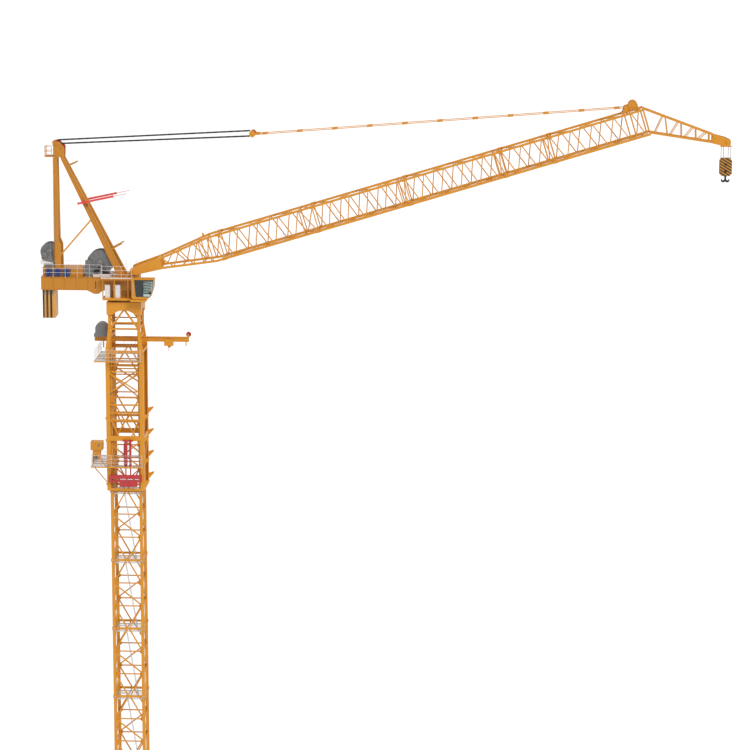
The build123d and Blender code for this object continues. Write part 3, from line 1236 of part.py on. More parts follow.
def hook():
    """Double hook below the block."""
    top = BLOCK_TOP - BLOCK_HEIGHT
    half = HOOK_WIDTH / 2
    side = [(0, -50), (38, -50), (48, -130), (80, -175), (115, -165), (138, -130), (145, -75), (half - 10, -60), (half, -120),
            (half - 20, -200), (140, -255), (60, -290), (0, -300)]
    outline = [(TIP_X + x, top + z) for x, z in side] + [(TIP_X - x, top + z) for x, z in reversed(side[1:-1])]
    with BuildPart() as ramshorn:
        rod((TIP_X, 0, top - 80), (TIP_X, 0, top), 42, sides=12)
        plates(side_plane(0), [outline], 70)
    return ramshorn


save("pendant_bars", pendant_bars())
save("floating_block", floating_block())
save("luffing_ropes", luffing_ropes())
save("hoist_falls", hoist_falls())
save("hook_block", hook_block())
save("hook", hook())
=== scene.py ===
"""Looks of a luffing tower crane at 1:2 scale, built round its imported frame.

Every piece is in metres in the frame's own axes: +Z up, the boom towards +X, the cab on the -Y side.
"""

import json
import logging
from dataclasses import dataclass
from enum import Enum
from math import cos, pi, radians, sin, tau

import bpy
import numpy as np
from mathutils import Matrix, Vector


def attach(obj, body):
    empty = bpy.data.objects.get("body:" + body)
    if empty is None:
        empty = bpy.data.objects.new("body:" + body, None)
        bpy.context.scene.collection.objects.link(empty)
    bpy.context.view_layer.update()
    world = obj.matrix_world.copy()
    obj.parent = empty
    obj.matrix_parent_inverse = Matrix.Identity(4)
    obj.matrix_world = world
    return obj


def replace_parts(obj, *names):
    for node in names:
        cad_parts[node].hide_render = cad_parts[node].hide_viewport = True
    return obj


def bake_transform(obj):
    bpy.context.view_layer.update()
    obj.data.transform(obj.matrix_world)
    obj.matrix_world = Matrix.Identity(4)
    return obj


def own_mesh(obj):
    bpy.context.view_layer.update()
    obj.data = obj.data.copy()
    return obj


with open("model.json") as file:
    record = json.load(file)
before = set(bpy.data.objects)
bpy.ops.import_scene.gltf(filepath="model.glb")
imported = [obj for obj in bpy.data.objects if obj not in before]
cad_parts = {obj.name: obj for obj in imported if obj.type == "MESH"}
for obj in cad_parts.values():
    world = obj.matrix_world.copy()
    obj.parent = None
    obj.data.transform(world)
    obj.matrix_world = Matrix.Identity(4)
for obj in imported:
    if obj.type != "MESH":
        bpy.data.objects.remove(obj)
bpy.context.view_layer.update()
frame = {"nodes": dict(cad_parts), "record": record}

log = logging.getLogger("crane")
Colour = tuple[float, float, float]
Point = tuple[float, float, float]


# Surfaces as whole arrays


@dataclass
class Form:
    """Loose faces held as arrays.

    Attributes:
        points: every corner point, one row each.
        corners: the point numbers of all faces, one after another.
        counts: how many corners each face has.
    """

    points: np.ndarray
    corners: np.ndarray
    counts: np.ndarray

    def __add__(self, other: "Form") -> "Form":
        """Both forms as one, without joining their points."""
        return Form(
            np.vstack((self.points, other.points)),
            np.concatenate((self.corners, other.corners + len(self.points))),
            np.concatenate((self.counts, other.counts)),
        )

    def turned(self, angle: float, axis: int = 2, centre: Point = (0, 0, 0)) -> "Form":
        """The form turned about a line.

        Args:
            angle: in radians, from the axis after the line's own towards the one after that.
            axis: number of the axis that the line runs along.
            centre: a point of the line.

        Returns:
            The turned form.
        """
        a, b = (axis + 1) % 3, (axis + 2) % 3
        points = self.points - np.array(centre, float)
        first = points[:, a] * cos(angle) - points[:, b] * sin(angle)
        second = points[:, a] * sin(angle) + points[:, b] * cos(angle)
        points[:, a], points[:, b] = first, second
        return Form(points + np.array(centre, float), self.corners, self.counts)


def joined(forms: list[Form]) -> Form:
    """All forms of a list as one."""
    sizes = np.cumsum([0] + [len(form.points) for form in forms[:-1]])
    return Form(
        np.vstack([form.points for form in forms]),
        np.concatenate([form.corners + size for form, size in zip(forms, sizes)]),
        np.concatenate([form.counts for form in forms]),
    )


def rows(x: np.ndarray | float, y: np.ndarray | float, z: np.ndarray | float) -> np.ndarray:
    """Places as rows of x, y and z, where a plain number stands for every row."""
    return np.stack(np.broadcast_arrays(x, y, z), -1)


def around(centre: Point, radius: float, count: int, start: float = 0.0) -> np.ndarray:
    """Places evenly spread round a line along Y: place k at the angle start + 2 pi k / count from +X to +Z.

    Args:
        centre: middle of the ring.
        radius: of the ring.
        count: number of places.
        start: angle of the first place.

    Returns:
        The places, one row each.
    """
    angle = start + np.arange(count) * tau / count
    return rows(centre[0] + radius * np.cos(angle), centre[1], centre[2] + radius * np.sin(angle))


def polygon(sides: int, radius: float, turn: float = 0.0) -> np.ndarray:
    """A regular outline: point k at the angle turn + 2 pi k / sides."""
    angle = turn + np.arange(sides) * tau / sides
    return np.stack((radius * np.cos(angle), radius * np.sin(angle)), -1)


def rectangle(width: float, height: float) -> np.ndarray:
    """The four corners of a rectangle about the origin, counter-clockwise."""
    return np.array([(-1, -1), (1, -1), (1, 1), (-1, 1)]) * (width / 2, height / 2)


def bars(starts: np.ndarray, ends: np.ndarray, profile: np.ndarray, up: Point = (0, 0, 1)) -> Form:
    """Straight bars, all with one profile.

    The profile's first axis lies square to the bar and to up, its second axis completes the frame, and a bar
    along up takes +X in its place.

    Args:
        starts: first end of each bar, one row each.
        ends: last end of each bar.
        profile: outline of the section, counter-clockwise.
        up: direction that the section's second axis leans to.

    Returns:
        The bars with closed ends.
    """
    starts, ends = np.atleast_2d(np.asarray(starts, float)), np.atleast_2d(np.asarray(ends, float))
    run = ends - starts
    run /= np.linalg.norm(run, axis=1, keepdims=True)
    lean = np.tile(np.array(up, float), (len(run), 1))
    lean[np.abs(run @ np.array(up, float)) > 0.999] = (1, 0, 0)
    side = np.cross(run, lean)
    side /= np.linalg.norm(side, axis=1, keepdims=True)
    top = np.cross(side, run)
    spread = profile[None, :, 0, None] * side[:, None] + profile[None, :, 1, None] * top[:, None]
    points = np.concatenate((starts[:, None] + spread, ends[:, None] + spread), axis=1)
    k, n = len(profile), len(starts)
    step = np.arange(k)
    after = (step + 1) % k
    walls = np.stack((step, step + k, after + k, after), -1).ravel()
    corners = np.concatenate((walls, step, step[::-1] + k))
    counts = np.concatenate((np.full(k, 4), [k, k]))
    shift = (np.arange(n) * 2 * k)[:, None]
    return Form(points.reshape(-1, 3), (corners[None] + shift).ravel(), np.tile(counts, n))


def sweep(path: np.ndarray, profile: np.ndarray, up: Point = (0, 0, 1), twist: np.ndarray | float = 0.0,
          scale: np.ndarray | float = 1.0) -> Form:
    """A profile carried along a path.

    Ring i is the profile turned by twist i and scaled by scale i, laid square to the mean of the two runs
    that meet at point i, with its second axis leaning to up.

    Args:
        path: points of the path, one row each.
        profile: outline of the section, counter-clockwise.
        up: direction that the section's second axis leans to, not along the path.
        twist: turn of each ring in radians, or one for all.
        scale: size of each ring, or one for all.

    Returns:
        The tube, with closed ends.
    """
    path = np.asarray(path, float)
    n, k = len(path), len(profile)
    runs = np.roll(path, -1, axis=0) - path
    runs /= np.linalg.norm(runs, axis=1, keepdims=True) + 1e-12
    before = np.roll(runs, 1, axis=0)
    runs[-1] = before[-1]
    before[0] = runs[0]
    along = runs + before
    along /= np.linalg.norm(along, axis=1, keepdims=True)
    side = np.cross(along, np.array(up, float))
    side /= np.linalg.norm(side, axis=1, keepdims=True)
    top = np.cross(side, along)
    turn = np.broadcast_to(np.asarray(twist, float), (n,))[:, None]
    size = np.broadcast_to(np.asarray(scale, float), (n,))[:, None]
    first = size * (profile[None, :, 0] * np.cos(turn) - profile[None, :, 1] * np.sin(turn))
    second = size * (profile[None, :, 0] * np.sin(turn) + profile[None, :, 1] * np.cos(turn))
    points = path[:, None] + first[..., None] * side[:, None] + second[..., None] * top[:, None]
    rings = np.arange(n - 1)[:, None] * k
    step = np.arange(k)[None]
    after = (step + 1) % k
    onward = rings + k
    walls = np.stack((rings + step, onward + step, onward + after, rings + after), -1).reshape(-1)
    counts = np.append(np.full(len(walls) // 4, 4), [k, k])
    corners = np.concatenate((walls, step[0], (n - 1) * k + step[0, ::-1]))
    return Form(points.reshape(-1, 3), corners, counts)


# Radius at which a closed outline meets its axis.
POLE = 0.0005


def lathe(outline: list[tuple[float, float]], centre: Point, axis: Point = (0, 0, 1), sides: int = 24,
          ring: bool = False) -> Form:
    """A surface of revolution.

    A point at radius r and height h of the outline becomes centre + r (cos t e1 + sin t e2) + h axis, for
    evenly spread angles t, where e1, e2 and the axis are square to each other.

    Args:
        outline: radius and height pairs, counter-clockwise with the radius to the right.
        centre: place where the radius and the height are zero.
        axis: direction of the height.
        sides: number of angles.
        ring: whether the outline closes on itself, as the section of a ring does.

    Returns:
        The surface, with a flat cap at each end of an open outline.
    """
    shape = np.asarray(outline, float)
    way = np.array(axis, float) / np.linalg.norm(axis)
    first = np.cross(way, (0, 0, 1) if abs(way[2]) < 0.9 else (1, 0, 0))
    first /= np.linalg.norm(first)
    second = np.cross(way, first)
    angle = np.arange(sides) * tau / sides
    spoke = np.cos(angle)[:, None] * first + np.sin(angle)[:, None] * second
    points = np.array(centre, float) + shape[:, None, 0, None] * spoke[None] + shape[:, None, 1, None] * way
    levels = len(shape)
    bands = levels if ring else levels - 1
    low = np.arange(bands)[:, None] * sides
    high = (low + sides) % (levels * sides)
    step = np.arange(sides)[None]
    after = (step + 1) % sides
    corners = np.stack((low + step, low + after, high + after, high + step), -1).reshape(-1)
    counts = np.full(len(corners) // 4, 4)
    if not ring:
        corners = np.concatenate((corners, step[0, ::-1], (levels - 1) * sides + step[0]))
        counts = np.concatenate((counts, [sides, sides]))
    return Form(points.reshape(-1, 3), corners, counts)


class Facing(Enum):
    """Plane of a flat outline, as the axes that its two coordinates run along."""

    SIDE = ((1, 0, 0), (0, 0, 1))
    CROSS = ((0, 1, 0), (0, 0, 1))
    FLOOR = ((1, 0, 0), (0, 1, 0))


def plate(outline: list[tuple[float, float]] | np.ndarray, facing: Facing, near: float, far: float) -> Form:
    """A flat outline given a thickness: each point at both depths along the third axis, joined by walls.

    Args:
        outline: points in the plane's two axes, either way round.
        facing: the plane.
        near: depth of one face along the plane's remaining axis.
        far: depth of the other face.

    Returns:
        The closed plate.
    """
    shape = np.asarray(outline, float)
    after = np.roll(shape, -1, axis=0)
    if np.sum(shape[:, 0] * after[:, 1] - after[:, 0] * shape[:, 1]) < 0:
        shape = shape[::-1]
    u, v = (np.array(way, float) for way in facing.value)
    w = np.cross(u, v)
    flat = shape[:, :1] * u + shape[:, 1:] * v
    depths = sorted((near * w.sum(), far * w.sum()))
    points = np.vstack((flat + w * depths[0], flat + w * depths[1]))
    k = len(shape)
    step = np.arange(k)
    onward = (step + 1) % k
    walls = np.stack((step, onward, onward + k, step + k), -1).ravel()
    return Form(points, np.concatenate((walls, step[::-1], step + k)),
                np.concatenate((np.full(k, 4), [k, k])))


def box(low: Point, high: Point) -> Form:
    """A block between two opposite corners."""
    (x0, y0, z0), (x1, y1, z1) = low, high
    return plate([(x0, y0), (x1, y0), (x1, y1), (x0, y1)], Facing.FLOOR, z0, z1)


def bolts(places: np.ndarray, way: Point, radius: float, height: float) -> Form:
    """Hexagon heads on a face.

    Args:
        places: middle of each head's foot, one row each.
        way: direction in which the heads stand up.
        radius: to the corners of a head.
        height: of a head.

    Returns:
        The heads.
    """
    places = np.atleast_2d(np.asarray(places, float))
    up = (0, 0, 1) if abs(way[2]) < 0.9 else (1, 0, 0)
    return bars(places, places + np.array(way, float) * height, polygon(6, radius), up)


def wave_round(sides: int, radius: float, strands: int, depth: float) -> np.ndarray:
    """Section of a stranded rope: a circle whose radius sinks in between its strands.

    Args:
        sides: number of points.
        radius: over the strands.
        strands: number of strands.
        depth: of the groove between two strands.

    Returns:
        The outline.
    """
    angle = np.arange(sides) * tau / sides
    reach = radius - depth * (0.5 - 0.5 * np.cos(strands * angle))
    return np.stack((reach * np.cos(angle), reach * np.sin(angle)), -1)


# Finishes


class Value:
    """A number passed between shader nodes: an expression on values adds its Math nodes."""

    def __init__(self, tree: "Tree", socket: bpy.types.NodeSocket) -> None:
        """Wraps an output socket of a tree."""
        self.tree = tree
        self.socket = socket

    def _math(self, operation: str, first: "Value | float", second: "Value | float" = 0.0) -> "Value":
        """Result of one Math node."""
        node = self.tree.node("ShaderNodeMath", {"operation": operation},
                              {"Value": first, "Value_001": second})
        return Value(self.tree, node.outputs["Value"])

    def __add__(self, other: "Value | float") -> "Value":
        """Sum."""
        return self._math("ADD", self, other)

    def __radd__(self, other: float) -> "Value":
        """Sum with a number on the left."""
        return self._math("ADD", other, self)

    def __sub__(self, other: "Value | float") -> "Value":
        """Difference."""
        return self._math("SUBTRACT", self, other)

    def __rsub__(self, other: float) -> "Value":
        """Difference from a number."""
        return self._math("SUBTRACT", other, self)

    def __mul__(self, other: "Value | float") -> "Value":
        """Product."""
        return self._math("MULTIPLY", self, other)

    def __rmul__(self, other: float) -> "Value":
        """Product with a number on the left."""
        return self._math("MULTIPLY", other, self)

    def __mod__(self, other: float) -> "Value":
        """Remainder, always from zero up to other."""
        return self._math("FLOORED_MODULO", self, other)

    def __rmod__(self, other: float) -> "Value":
        """Remainder of a number."""
        return self._math("FLOORED_MODULO", other, self)

    def __gt__(self, other: "Value | float") -> "Value":
        """One where the value is above other, and zero elsewhere."""
        return self._math("GREATER_THAN", self, other)

    def __lt__(self, other: "Value | float") -> "Value":
        """One where the value is below other, and zero elsewhere."""
        return self._math("LESS_THAN", self, other)

    def __abs__(self) -> "Value":
        """Size without sign."""
        return self._math("ABSOLUTE", self)

    def ramp(self, low: float, high: float) -> "Value":
        """Share of the way from low to high, held between zero and one."""
        node = self.tree.node("ShaderNodeMapRange", {"clamp": True},
                              {"Value": self, "From Min": low, "From Max": high, "To Min": 0.0,
                               "To Max": 1.0})
        return Value(self.tree, node.outputs["Result"])


class Tree:
    """Node tree of one material, with a Principled shader on its output."""

    def __init__(self, name: str) -> None:
        """Makes an empty material with its shader and its object coordinates.

        Args:
            name: name of the material.
        """
        self.material = bpy.data.materials.new(name)
        self.material.use_nodes = True
        self.nodes = self.material.node_tree.nodes
        self.links = self.material.node_tree.links
        self.nodes.clear()
        self.output = self.nodes.new("ShaderNodeOutputMaterial")
        self.shader = self.node("ShaderNodeBsdfPrincipled")
        self.links.new(self.shader.outputs["BSDF"], self.output.inputs["Surface"])
        self.place = self.node("ShaderNodeTexCoord").outputs["Object"]

    def node(self, kind: str, settings: dict | None = None, inputs: dict | None = None) -> bpy.types.Node:
        """Adds a node.

        Args:
            kind: type of the node.
            settings: attributes of the node, set before its sockets.
            inputs: value, socket or Value for each input, by the input's identifier.

        Returns:
            The new node.
        """
        made = self.nodes.new(kind)
        for key, setting in (settings or {}).items():
            setattr(made, key, setting)
        for key, given in (inputs or {}).items():
            self.feed(made, key, given)
        return made

    def feed(self, node: bpy.types.Node, key: str, given: object) -> None:
        """Sets or links one input of a node.

        Args:
            node: the node.
            key: identifier of the input.
            given: value, socket or Value for it.
        """
        socket = next(entry for entry in node.inputs if entry.identifier == key)
        if isinstance(given, Value):
            self.links.new(given.socket, socket)
        elif isinstance(given, bpy.types.NodeSocket):
            self.links.new(given, socket)
        else:
            socket.default_value = given

    def axes(self) -> tuple[Value, Value, Value]:
        """The three object coordinates as values."""
        split = self.node("ShaderNodeSeparateXYZ", None, {"Vector": self.place})
        return tuple(Value(self, split.outputs[axis]) for axis in "XYZ")

    def noise(self, scale: float, stretch: Point = (1, 1, 1), detail: float = 3.0,
              seed: Point = (0, 0, 0)) -> Value:
        """Cloudy value about one half.

        Args:
            scale: clouds to a metre.
            stretch: how much finer the clouds are along each axis.
            detail: number of finer layers.
            seed: shift of the pattern.

        Returns:
            The noise, from zero to one.
        """
        mapped = self.node("ShaderNodeMapping", None, {"Vector": self.place, "Location": seed,
                                                       "Scale": stretch})
        made = self.node("ShaderNodeTexNoise", None, {"Vector": mapped.outputs["Vector"], "Scale": scale,
                                                      "Detail": detail, "Roughness": 0.6})
        return Value(self, made.outputs[0])

    def cells(self, scale: float) -> Value:
        """Value that changes from cell to cell of a broken-up pattern.

        Args:
            scale: cells to a metre.

        Returns:
            The value, from zero to one.
        """
        made = self.node("ShaderNodeTexVoronoi", None, {"Vector": self.place, "Scale": scale})
        split = self.node("ShaderNodeSeparateXYZ", None, {"Vector": made.outputs["Color"]})
        return Value(self, split.outputs["X"])

    def mix(self, first: object, second: object, share: Value | float) -> bpy.types.NodeSocket:
        """Colour between two others.

        Args:
            first: colour or socket at share zero.
            second: colour or socket at share one.
            share: of the way to the second.

        Returns:
            The mixed colour's socket.
        """
        made = self.node("ShaderNodeMix", {"data_type": "RGBA", "clamp_factor": True},
                         {"Factor_Float": share})
        for key, given in (("A_Color", first), ("B_Color", second)):
            self.feed(made, key, (*given, 1.0) if isinstance(given, tuple) else given)
        return next(entry for entry in made.outputs if entry.identifier == "Result_Color")

    def relief(self, height: Value, depth: float, strength: float = 1.0) -> None:
        """Bump of the shader's normal, where height one stands depth metres above height zero."""
        made = self.node("ShaderNodeBump", None, {"Height": height, "Distance": depth, "Strength": strength})
        self.feed(self.shader, "Normal", made.outputs["Normal"])

    def set(self, **values: object) -> None:
        """Sets inputs of the shader, with each underscore in a name read as a space."""
        for key, given in values.items():
            self.feed(self.shader, key.replace("_", " "), given)


class Finish:
    """A surface treatment that makes its material once.

    Attributes:
        made: materials made so far, by name.
    """

    made: dict[str, bpy.types.Material] = {}

    def material(self) -> bpy.types.Material:
        """The finish's material, made at its first use.

        Returns:
            The material.
        """
        if self.name not in Finish.made:
            tree = Tree(self.name)
            self.dress(tree)
            Finish.made[self.name] = tree.material
        return Finish.made[self.name]

    def dress(self, tree: Tree) -> None:
        """Sets up the material's nodes."""
        raise NotImplementedError


@dataclass(frozen=True)
class Paint(Finish):
    """Sprayed steel: cloudy fading, rain streaks with dust, and chips of primer and rust.

    Attributes:
        name: name of the material.
        slot: slot of the record that it belongs to.
        colour: fresh paint.
        faded: paint after sun.
        grime: colour of streaks.
        roughness: shine of clean paint.
        wear: share of the surface that is chipped.
        bright: how much of the surface is metal under the paint.
    """

    name: str
    slot: str
    colour: Colour
    faded: Colour
    grime: Colour
    roughness: float = 0.42
    wear: float = 0.05
    bright: float = 0.0

    def ground(self, tree: Tree) -> bpy.types.NodeSocket:
        """Colour of the paint before streaks and chips."""
        clouds = tree.noise(0.9, detail=4)
        return tree.mix(self.colour, self.faded, clouds.ramp(0.35, 0.75) * 0.75)

    def dress(self, tree: Tree) -> None:
        """Layers of fading, streaks and chips, with a faint sprayed texture.

        Args:
            tree: the material's node tree.
        """
        base = self.ground(tree)
        streaks = tree.noise(2.2, (3.0, 3.0, 0.35), 5, (3.1, 7.7, 1.3)).ramp(0.52, 0.78)
        dusty = tree.mix(base, self.grime, streaks * 0.38)
        spots = tree.noise(24.0, detail=6, seed=(11.0, 5.0, 2.0))
        patches = tree.noise(1.7, detail=2, seed=(4.0, 9.0, 6.0))
        chips = (spots * 0.7 + patches * 0.3).ramp(0.69 - self.wear, 0.70 - self.wear)
        rust = tree.mix((0.16, 0.06, 0.02), (0.30, 0.13, 0.05), spots.ramp(0.3, 0.8))
        tree.set(Base_Color=tree.mix(dusty, rust, chips * 0.8),
                 Roughness=(self.roughness + streaks * 0.16 + chips * 0.25), Metallic=self.bright)
        tree.relief(tree.noise(180.0, detail=2) * 0.25 - chips, 0.0006, 0.5)


@dataclass(frozen=True)
class Ballast(Paint):
    """Paint with upright dark bars on the faces along Y, as on the counterweight.

    Attributes:
        bar: colour of the bars.
        start: where the first bar begins, along X.
        pitch: distance between bars.
        share: part of the pitch that is dark.
        end: where the last bar ends.
    """

    bar: Colour = (0.016, 0.013, 0.011)
    start: float = 0.0
    pitch: float = 0.2
    share: float = 0.5
    end: float = 1.0

    def ground(self, tree: Tree) -> bpy.types.NodeSocket:
        """Paint, dark where the distance from the first bar falls in a bar.

        Args:
            tree: the material's node tree.

        Returns:
            The colour's socket.
        """
        x = tree.axes()[0]
        facing = tree.node("ShaderNodeNewGeometry").outputs["Normal"]
        split = tree.node("ShaderNodeSeparateXYZ", None, {"Vector": facing})
        broad = abs(Value(tree, split.outputs["Y"])) > 0.5
        within = ((x - self.start) % self.pitch) < self.pitch * self.share
        dark = within * (x > self.start) * (x < self.end) * broad
        return tree.mix(Paint.ground(self, tree), self.bar, dark)


@dataclass(frozen=True)
class Hazard(Paint):
    """Paint with slanted dark bars, as on the hook block.

    Attributes:
        bar: colour of the bars.
        pitch: distance between bars, measured level.
        lean: how far a bar moves along X in a metre of height.
    """

    bar: Colour = (0.016, 0.013, 0.011)
    pitch: float = 0.2
    lean: float = 1.0

    def ground(self, tree: Tree) -> bpy.types.NodeSocket:
        """Paint, dark over half of each pitch of the slanted distance.

        Args:
            tree: the material's node tree.

        Returns:
            The colour's socket.
        """
        x, y, z = tree.axes()
        dark = ((x + y + z * self.lean) % self.pitch) < self.pitch * 0.5
        return tree.mix(Paint.ground(self, tree), self.bar, dark)


@dataclass(frozen=True)
class Zinc(Finish):
    """Galvanized steel with dull crystals.

    Attributes:
        name: name of the material.
        slot: slot of the record that it belongs to.
        light: colour of bright crystals.
        dark: colour of dull crystals.
    """

    name: str = "zinc_coat"
    slot: str = "galvanized"
    light: Colour = (0.70, 0.71, 0.71)
    dark: Colour = (0.50, 0.51, 0.52)

    def dress(self, tree: Tree) -> None:
        """Crystals in two greys, dulled in clouds.

        Args:
            tree: the material's node tree.
        """
        crystal = tree.cells(90.0)
        clouds = tree.noise(6.0, detail=4)
        tree.set(Base_Color=tree.mix(self.dark, self.light, crystal * 0.6 + clouds * 0.4),
                 Roughness=(0.34 + clouds * 0.22), Metallic=0.55)
        tree.relief(crystal, 0.0003, 0.3)


@dataclass(frozen=True)
class Wire(Finish):
    """Greased steel rope.

    Attributes:
        name: name of the material.
        slot: slot of the record that it belongs to.
        light: colour of bright wire.
        dark: colour of grease.
        shine: how much of the surface is bare metal.
    """

    name: str
    slot: str
    light: Colour
    dark: Colour
    shine: float = 0.6

    def dress(self, tree: Tree) -> None:
        """Grease in clouds over bright wire.

        Args:
            tree: the material's node tree.
        """
        clouds = tree.noise(14.0, detail=5)
        fine = tree.noise(420.0, detail=1)
        tree.set(Base_Color=tree.mix(self.dark, self.light, clouds.ramp(0.3, 0.75) * 0.7 + fine * 0.3),
                 Roughness=(0.38 + clouds * 0.3), Metallic=self.shine)
        tree.relief(fine, 0.0006, 0.6)


@dataclass(frozen=True)
class Pane(Finish):
    """Tinted cab glass with a little dust.

    Attributes:
        name: name of the material.
        slot: slot of the record that it belongs to.
        tint: colour of the clean glass.
    """

    name: str = "cab_pane"
    slot: str = "window_glass"
    tint: Colour = (0.62, 0.80, 0.76)

    def dress(self, tree: Tree) -> None:
        """Clear tinted glass, duller where dust lies.

        Args:
            tree: the material's node tree.
        """
        dust = tree.noise(5.0, detail=5).ramp(0.45, 0.8)
        tree.set(Base_Color=tree.mix(self.tint, (0.55, 0.66, 0.62), dust * 0.5),
                 Roughness=(0.03 + dust * 0.12), Alpha=(0.34 + dust * 0.2))
        tree.shader.inputs["IOR"].default_value = 1.45


@dataclass(frozen=True)
class Forged(Finish):
    """Black forged steel with a scaly skin.

    Attributes:
        name: name of the material.
        slot: slot of the record that it belongs to.
    """

    name: str = "forged_skin"
    slot: str = "forged_black"

    def dress(self, tree: Tree) -> None:
        """Scale in two near-blacks with a rough relief.

        Args:
            tree: the material's node tree.
        """
        scale = tree.noise(16.0, detail=6)
        tree.set(Base_Color=tree.mix((0.010, 0.009, 0.009), (0.045, 0.038, 0.034), scale.ramp(0.35, 0.75)),
                 Roughness=(0.42 + scale * 0.3), Metallic=0.4)
        tree.relief(scale, 0.002, 0.5)


@dataclass(frozen=True)
class Cloth(Finish):
    """Woven seat cover in a dark tint.

    Attributes:
        name: name of the material.
        slot: slot of the record that it belongs to.
        colour: of the thread.
    """

    name: str
    slot: str
    colour: Colour

    def dress(self, tree: Tree) -> None:
        """Crossed threads as a fine relief, over clouds of wear.

        Args:
            tree: the material's node tree.
        """
        x, y, z = tree.axes()
        weave = abs(((x + z) * 260.0) % 2.0 - 1.0) * 0.5 + abs((y * 260.0) % 2.0 - 1.0) * 0.5
        clouds = tree.noise(9.0, detail=4)
        light = tuple(min(1.0, channel * 2.4 + 0.01) for channel in self.colour)
        tree.set(Base_Color=tree.mix(self.colour, light, clouds.ramp(0.3, 0.8) * 0.5 + weave * 0.3),
                 Roughness=(0.80 + clouds * 0.15))
        tree.relief(weave, 0.001, 0.6)


@dataclass(frozen=True)
class Grating(Paint):
    """Painted floor of bearing bars: painted shade in each gap between bars, on faces seen from above and
    below.

    Attributes:
        pitch: distance between bars.
        gap: share of the pitch that is painted as a shaded gap.
    """

    pitch: float = 0.04
    gap: float = 0.55

    def ground(self, tree: Tree) -> bpy.types.NodeSocket:
        """Paint, with painted shade in each gap between bars on faces that look up or down.

        Args:
            tree: the material's node tree.

        Returns:
            The colour's socket.
        """
        x, y, z = tree.axes()
        split = tree.node("ShaderNodeSeparateXYZ", None,
                          {"Vector": tree.node("ShaderNodeNewGeometry").outputs["Normal"]})
        level = abs(Value(tree, split.outputs["Z"])) > 0.5
        # Painted shade: dark brown where each gap between bars would be, on level faces.
        gap_shade = ((x % self.pitch) < self.pitch * self.gap) * ((y % 0.1) < 0.088) * level
        return tree.mix(Paint.ground(self, tree), (0.10, 0.055, 0.018), gap_shade * 0.45)


YELLOW = Paint("crane_yellow", "yellow_steel", (0.70, 0.285, 0.008), (0.66, 0.285, 0.022),
               (0.40, 0.18, 0.028))
# Darker copy of the crane yellow for the deck and the A-frame: painted shade on their big flat faces.
SHADED_YELLOW = Paint("painted_shade_yellow", "yellow_steel", (0.55, 0.215, 0.006), (0.53, 0.22, 0.018),
                    (0.31, 0.14, 0.022))
# Walkway yellow whose gratings carry painted shade in each gap between bars.
DECKING = Grating("walkway_yellow", "yellow_grating", (0.66, 0.29, 0.03), (0.60, 0.30, 0.06),
                  (0.36, 0.19, 0.06), 0.55, 0.08)
GREY = Paint("machine_grey", "grey_steel", (0.165, 0.166, 0.166), (0.205, 0.205, 0.205),
             (0.10, 0.095, 0.085), 0.40, 0.03)
RED = Paint("signal_red", "red_steel", (0.50, 0.020, 0.028), (0.50, 0.06, 0.06),
            (0.20, 0.03, 0.03), 0.38, 0.03)
BLUE = Paint("motor_blue", "blue_steel", (0.016, 0.070, 0.270), (0.03, 0.10, 0.30),
             (0.02, 0.04, 0.10), 0.36, 0.02)
CABINET = Paint("cabinet_white", "cabinet_paint", (0.80, 0.77, 0.76), (0.74, 0.72, 0.70),
                (0.48, 0.44, 0.40), 0.40, 0.0)
BALLAST = Ballast("ballast_paint", "ballast", (0.66, 0.30, 0.04), (0.66, 0.34, 0.09), (0.40, 0.21, 0.07),
                  0.42, 0.02, 0.0, (0.006, 0.005, 0.005), -3.965, 0.187, 0.54, -3.475)
HAZARD = Hazard("hazard_bars", "yellow_steel", (0.56, 0.235, 0.012), (0.52, 0.24, 0.03), (0.30, 0.14, 0.03),
                0.40, 0.03, 0.0, (0.010, 0.006, 0.004), 0.235, 1.7)
DARK_PANEL = Paint("dark_panel", "forged_black", (0.020, 0.024, 0.028), (0.035, 0.04, 0.045),
                   (0.06, 0.055, 0.05), 0.34, 0.0)
SEAT_CLOTH = Cloth("seat_cloth", "forged_black", (0.018, 0.020, 0.024))
STOP_RED = Paint("stop_red", "red_steel", (0.74, 0.050, 0.045), (0.74, 0.12, 0.11),
                 (0.34, 0.05, 0.05), 0.34, 0.02)
ROD_PINK = Paint("rod_primer", "red_steel", (0.78, 0.40, 0.38), (0.80, 0.52, 0.50),
                 (0.40, 0.22, 0.20), 0.34, 0.02)
# Opaque pale green paint laid over the cab wall beside and below the side window: painted reflection on the
# glass.
PANE_REFLECTION = Paint("painted_pane_reflection", "window_glass", (0.40, 0.55, 0.51), (0.56, 0.70, 0.66),
              (0.12, 0.17, 0.16), 0.10, 0.0)
ZINC = Zinc()
LUFF_WIRE = Wire("greased_wire", "wire_rope", (0.022, 0.021, 0.020), (0.005, 0.005, 0.004), 0.1)
HOIST_WIRE = Wire("bright_wire", "wire_rope", (0.30, 0.30, 0.29), (0.09, 0.085, 0.08), 0.7)
FORGED = Forged()
PANE = Pane()
FINISHES = (HOIST_WIRE, LUFF_WIRE, YELLOW, DECKING, GREY, RED, BLUE, CABINET, BALLAST, ZINC, FORGED, PANE)
FINISH_OF_SLOT: dict[str, Finish] = {finish.slot: finish for finish in FINISHES}


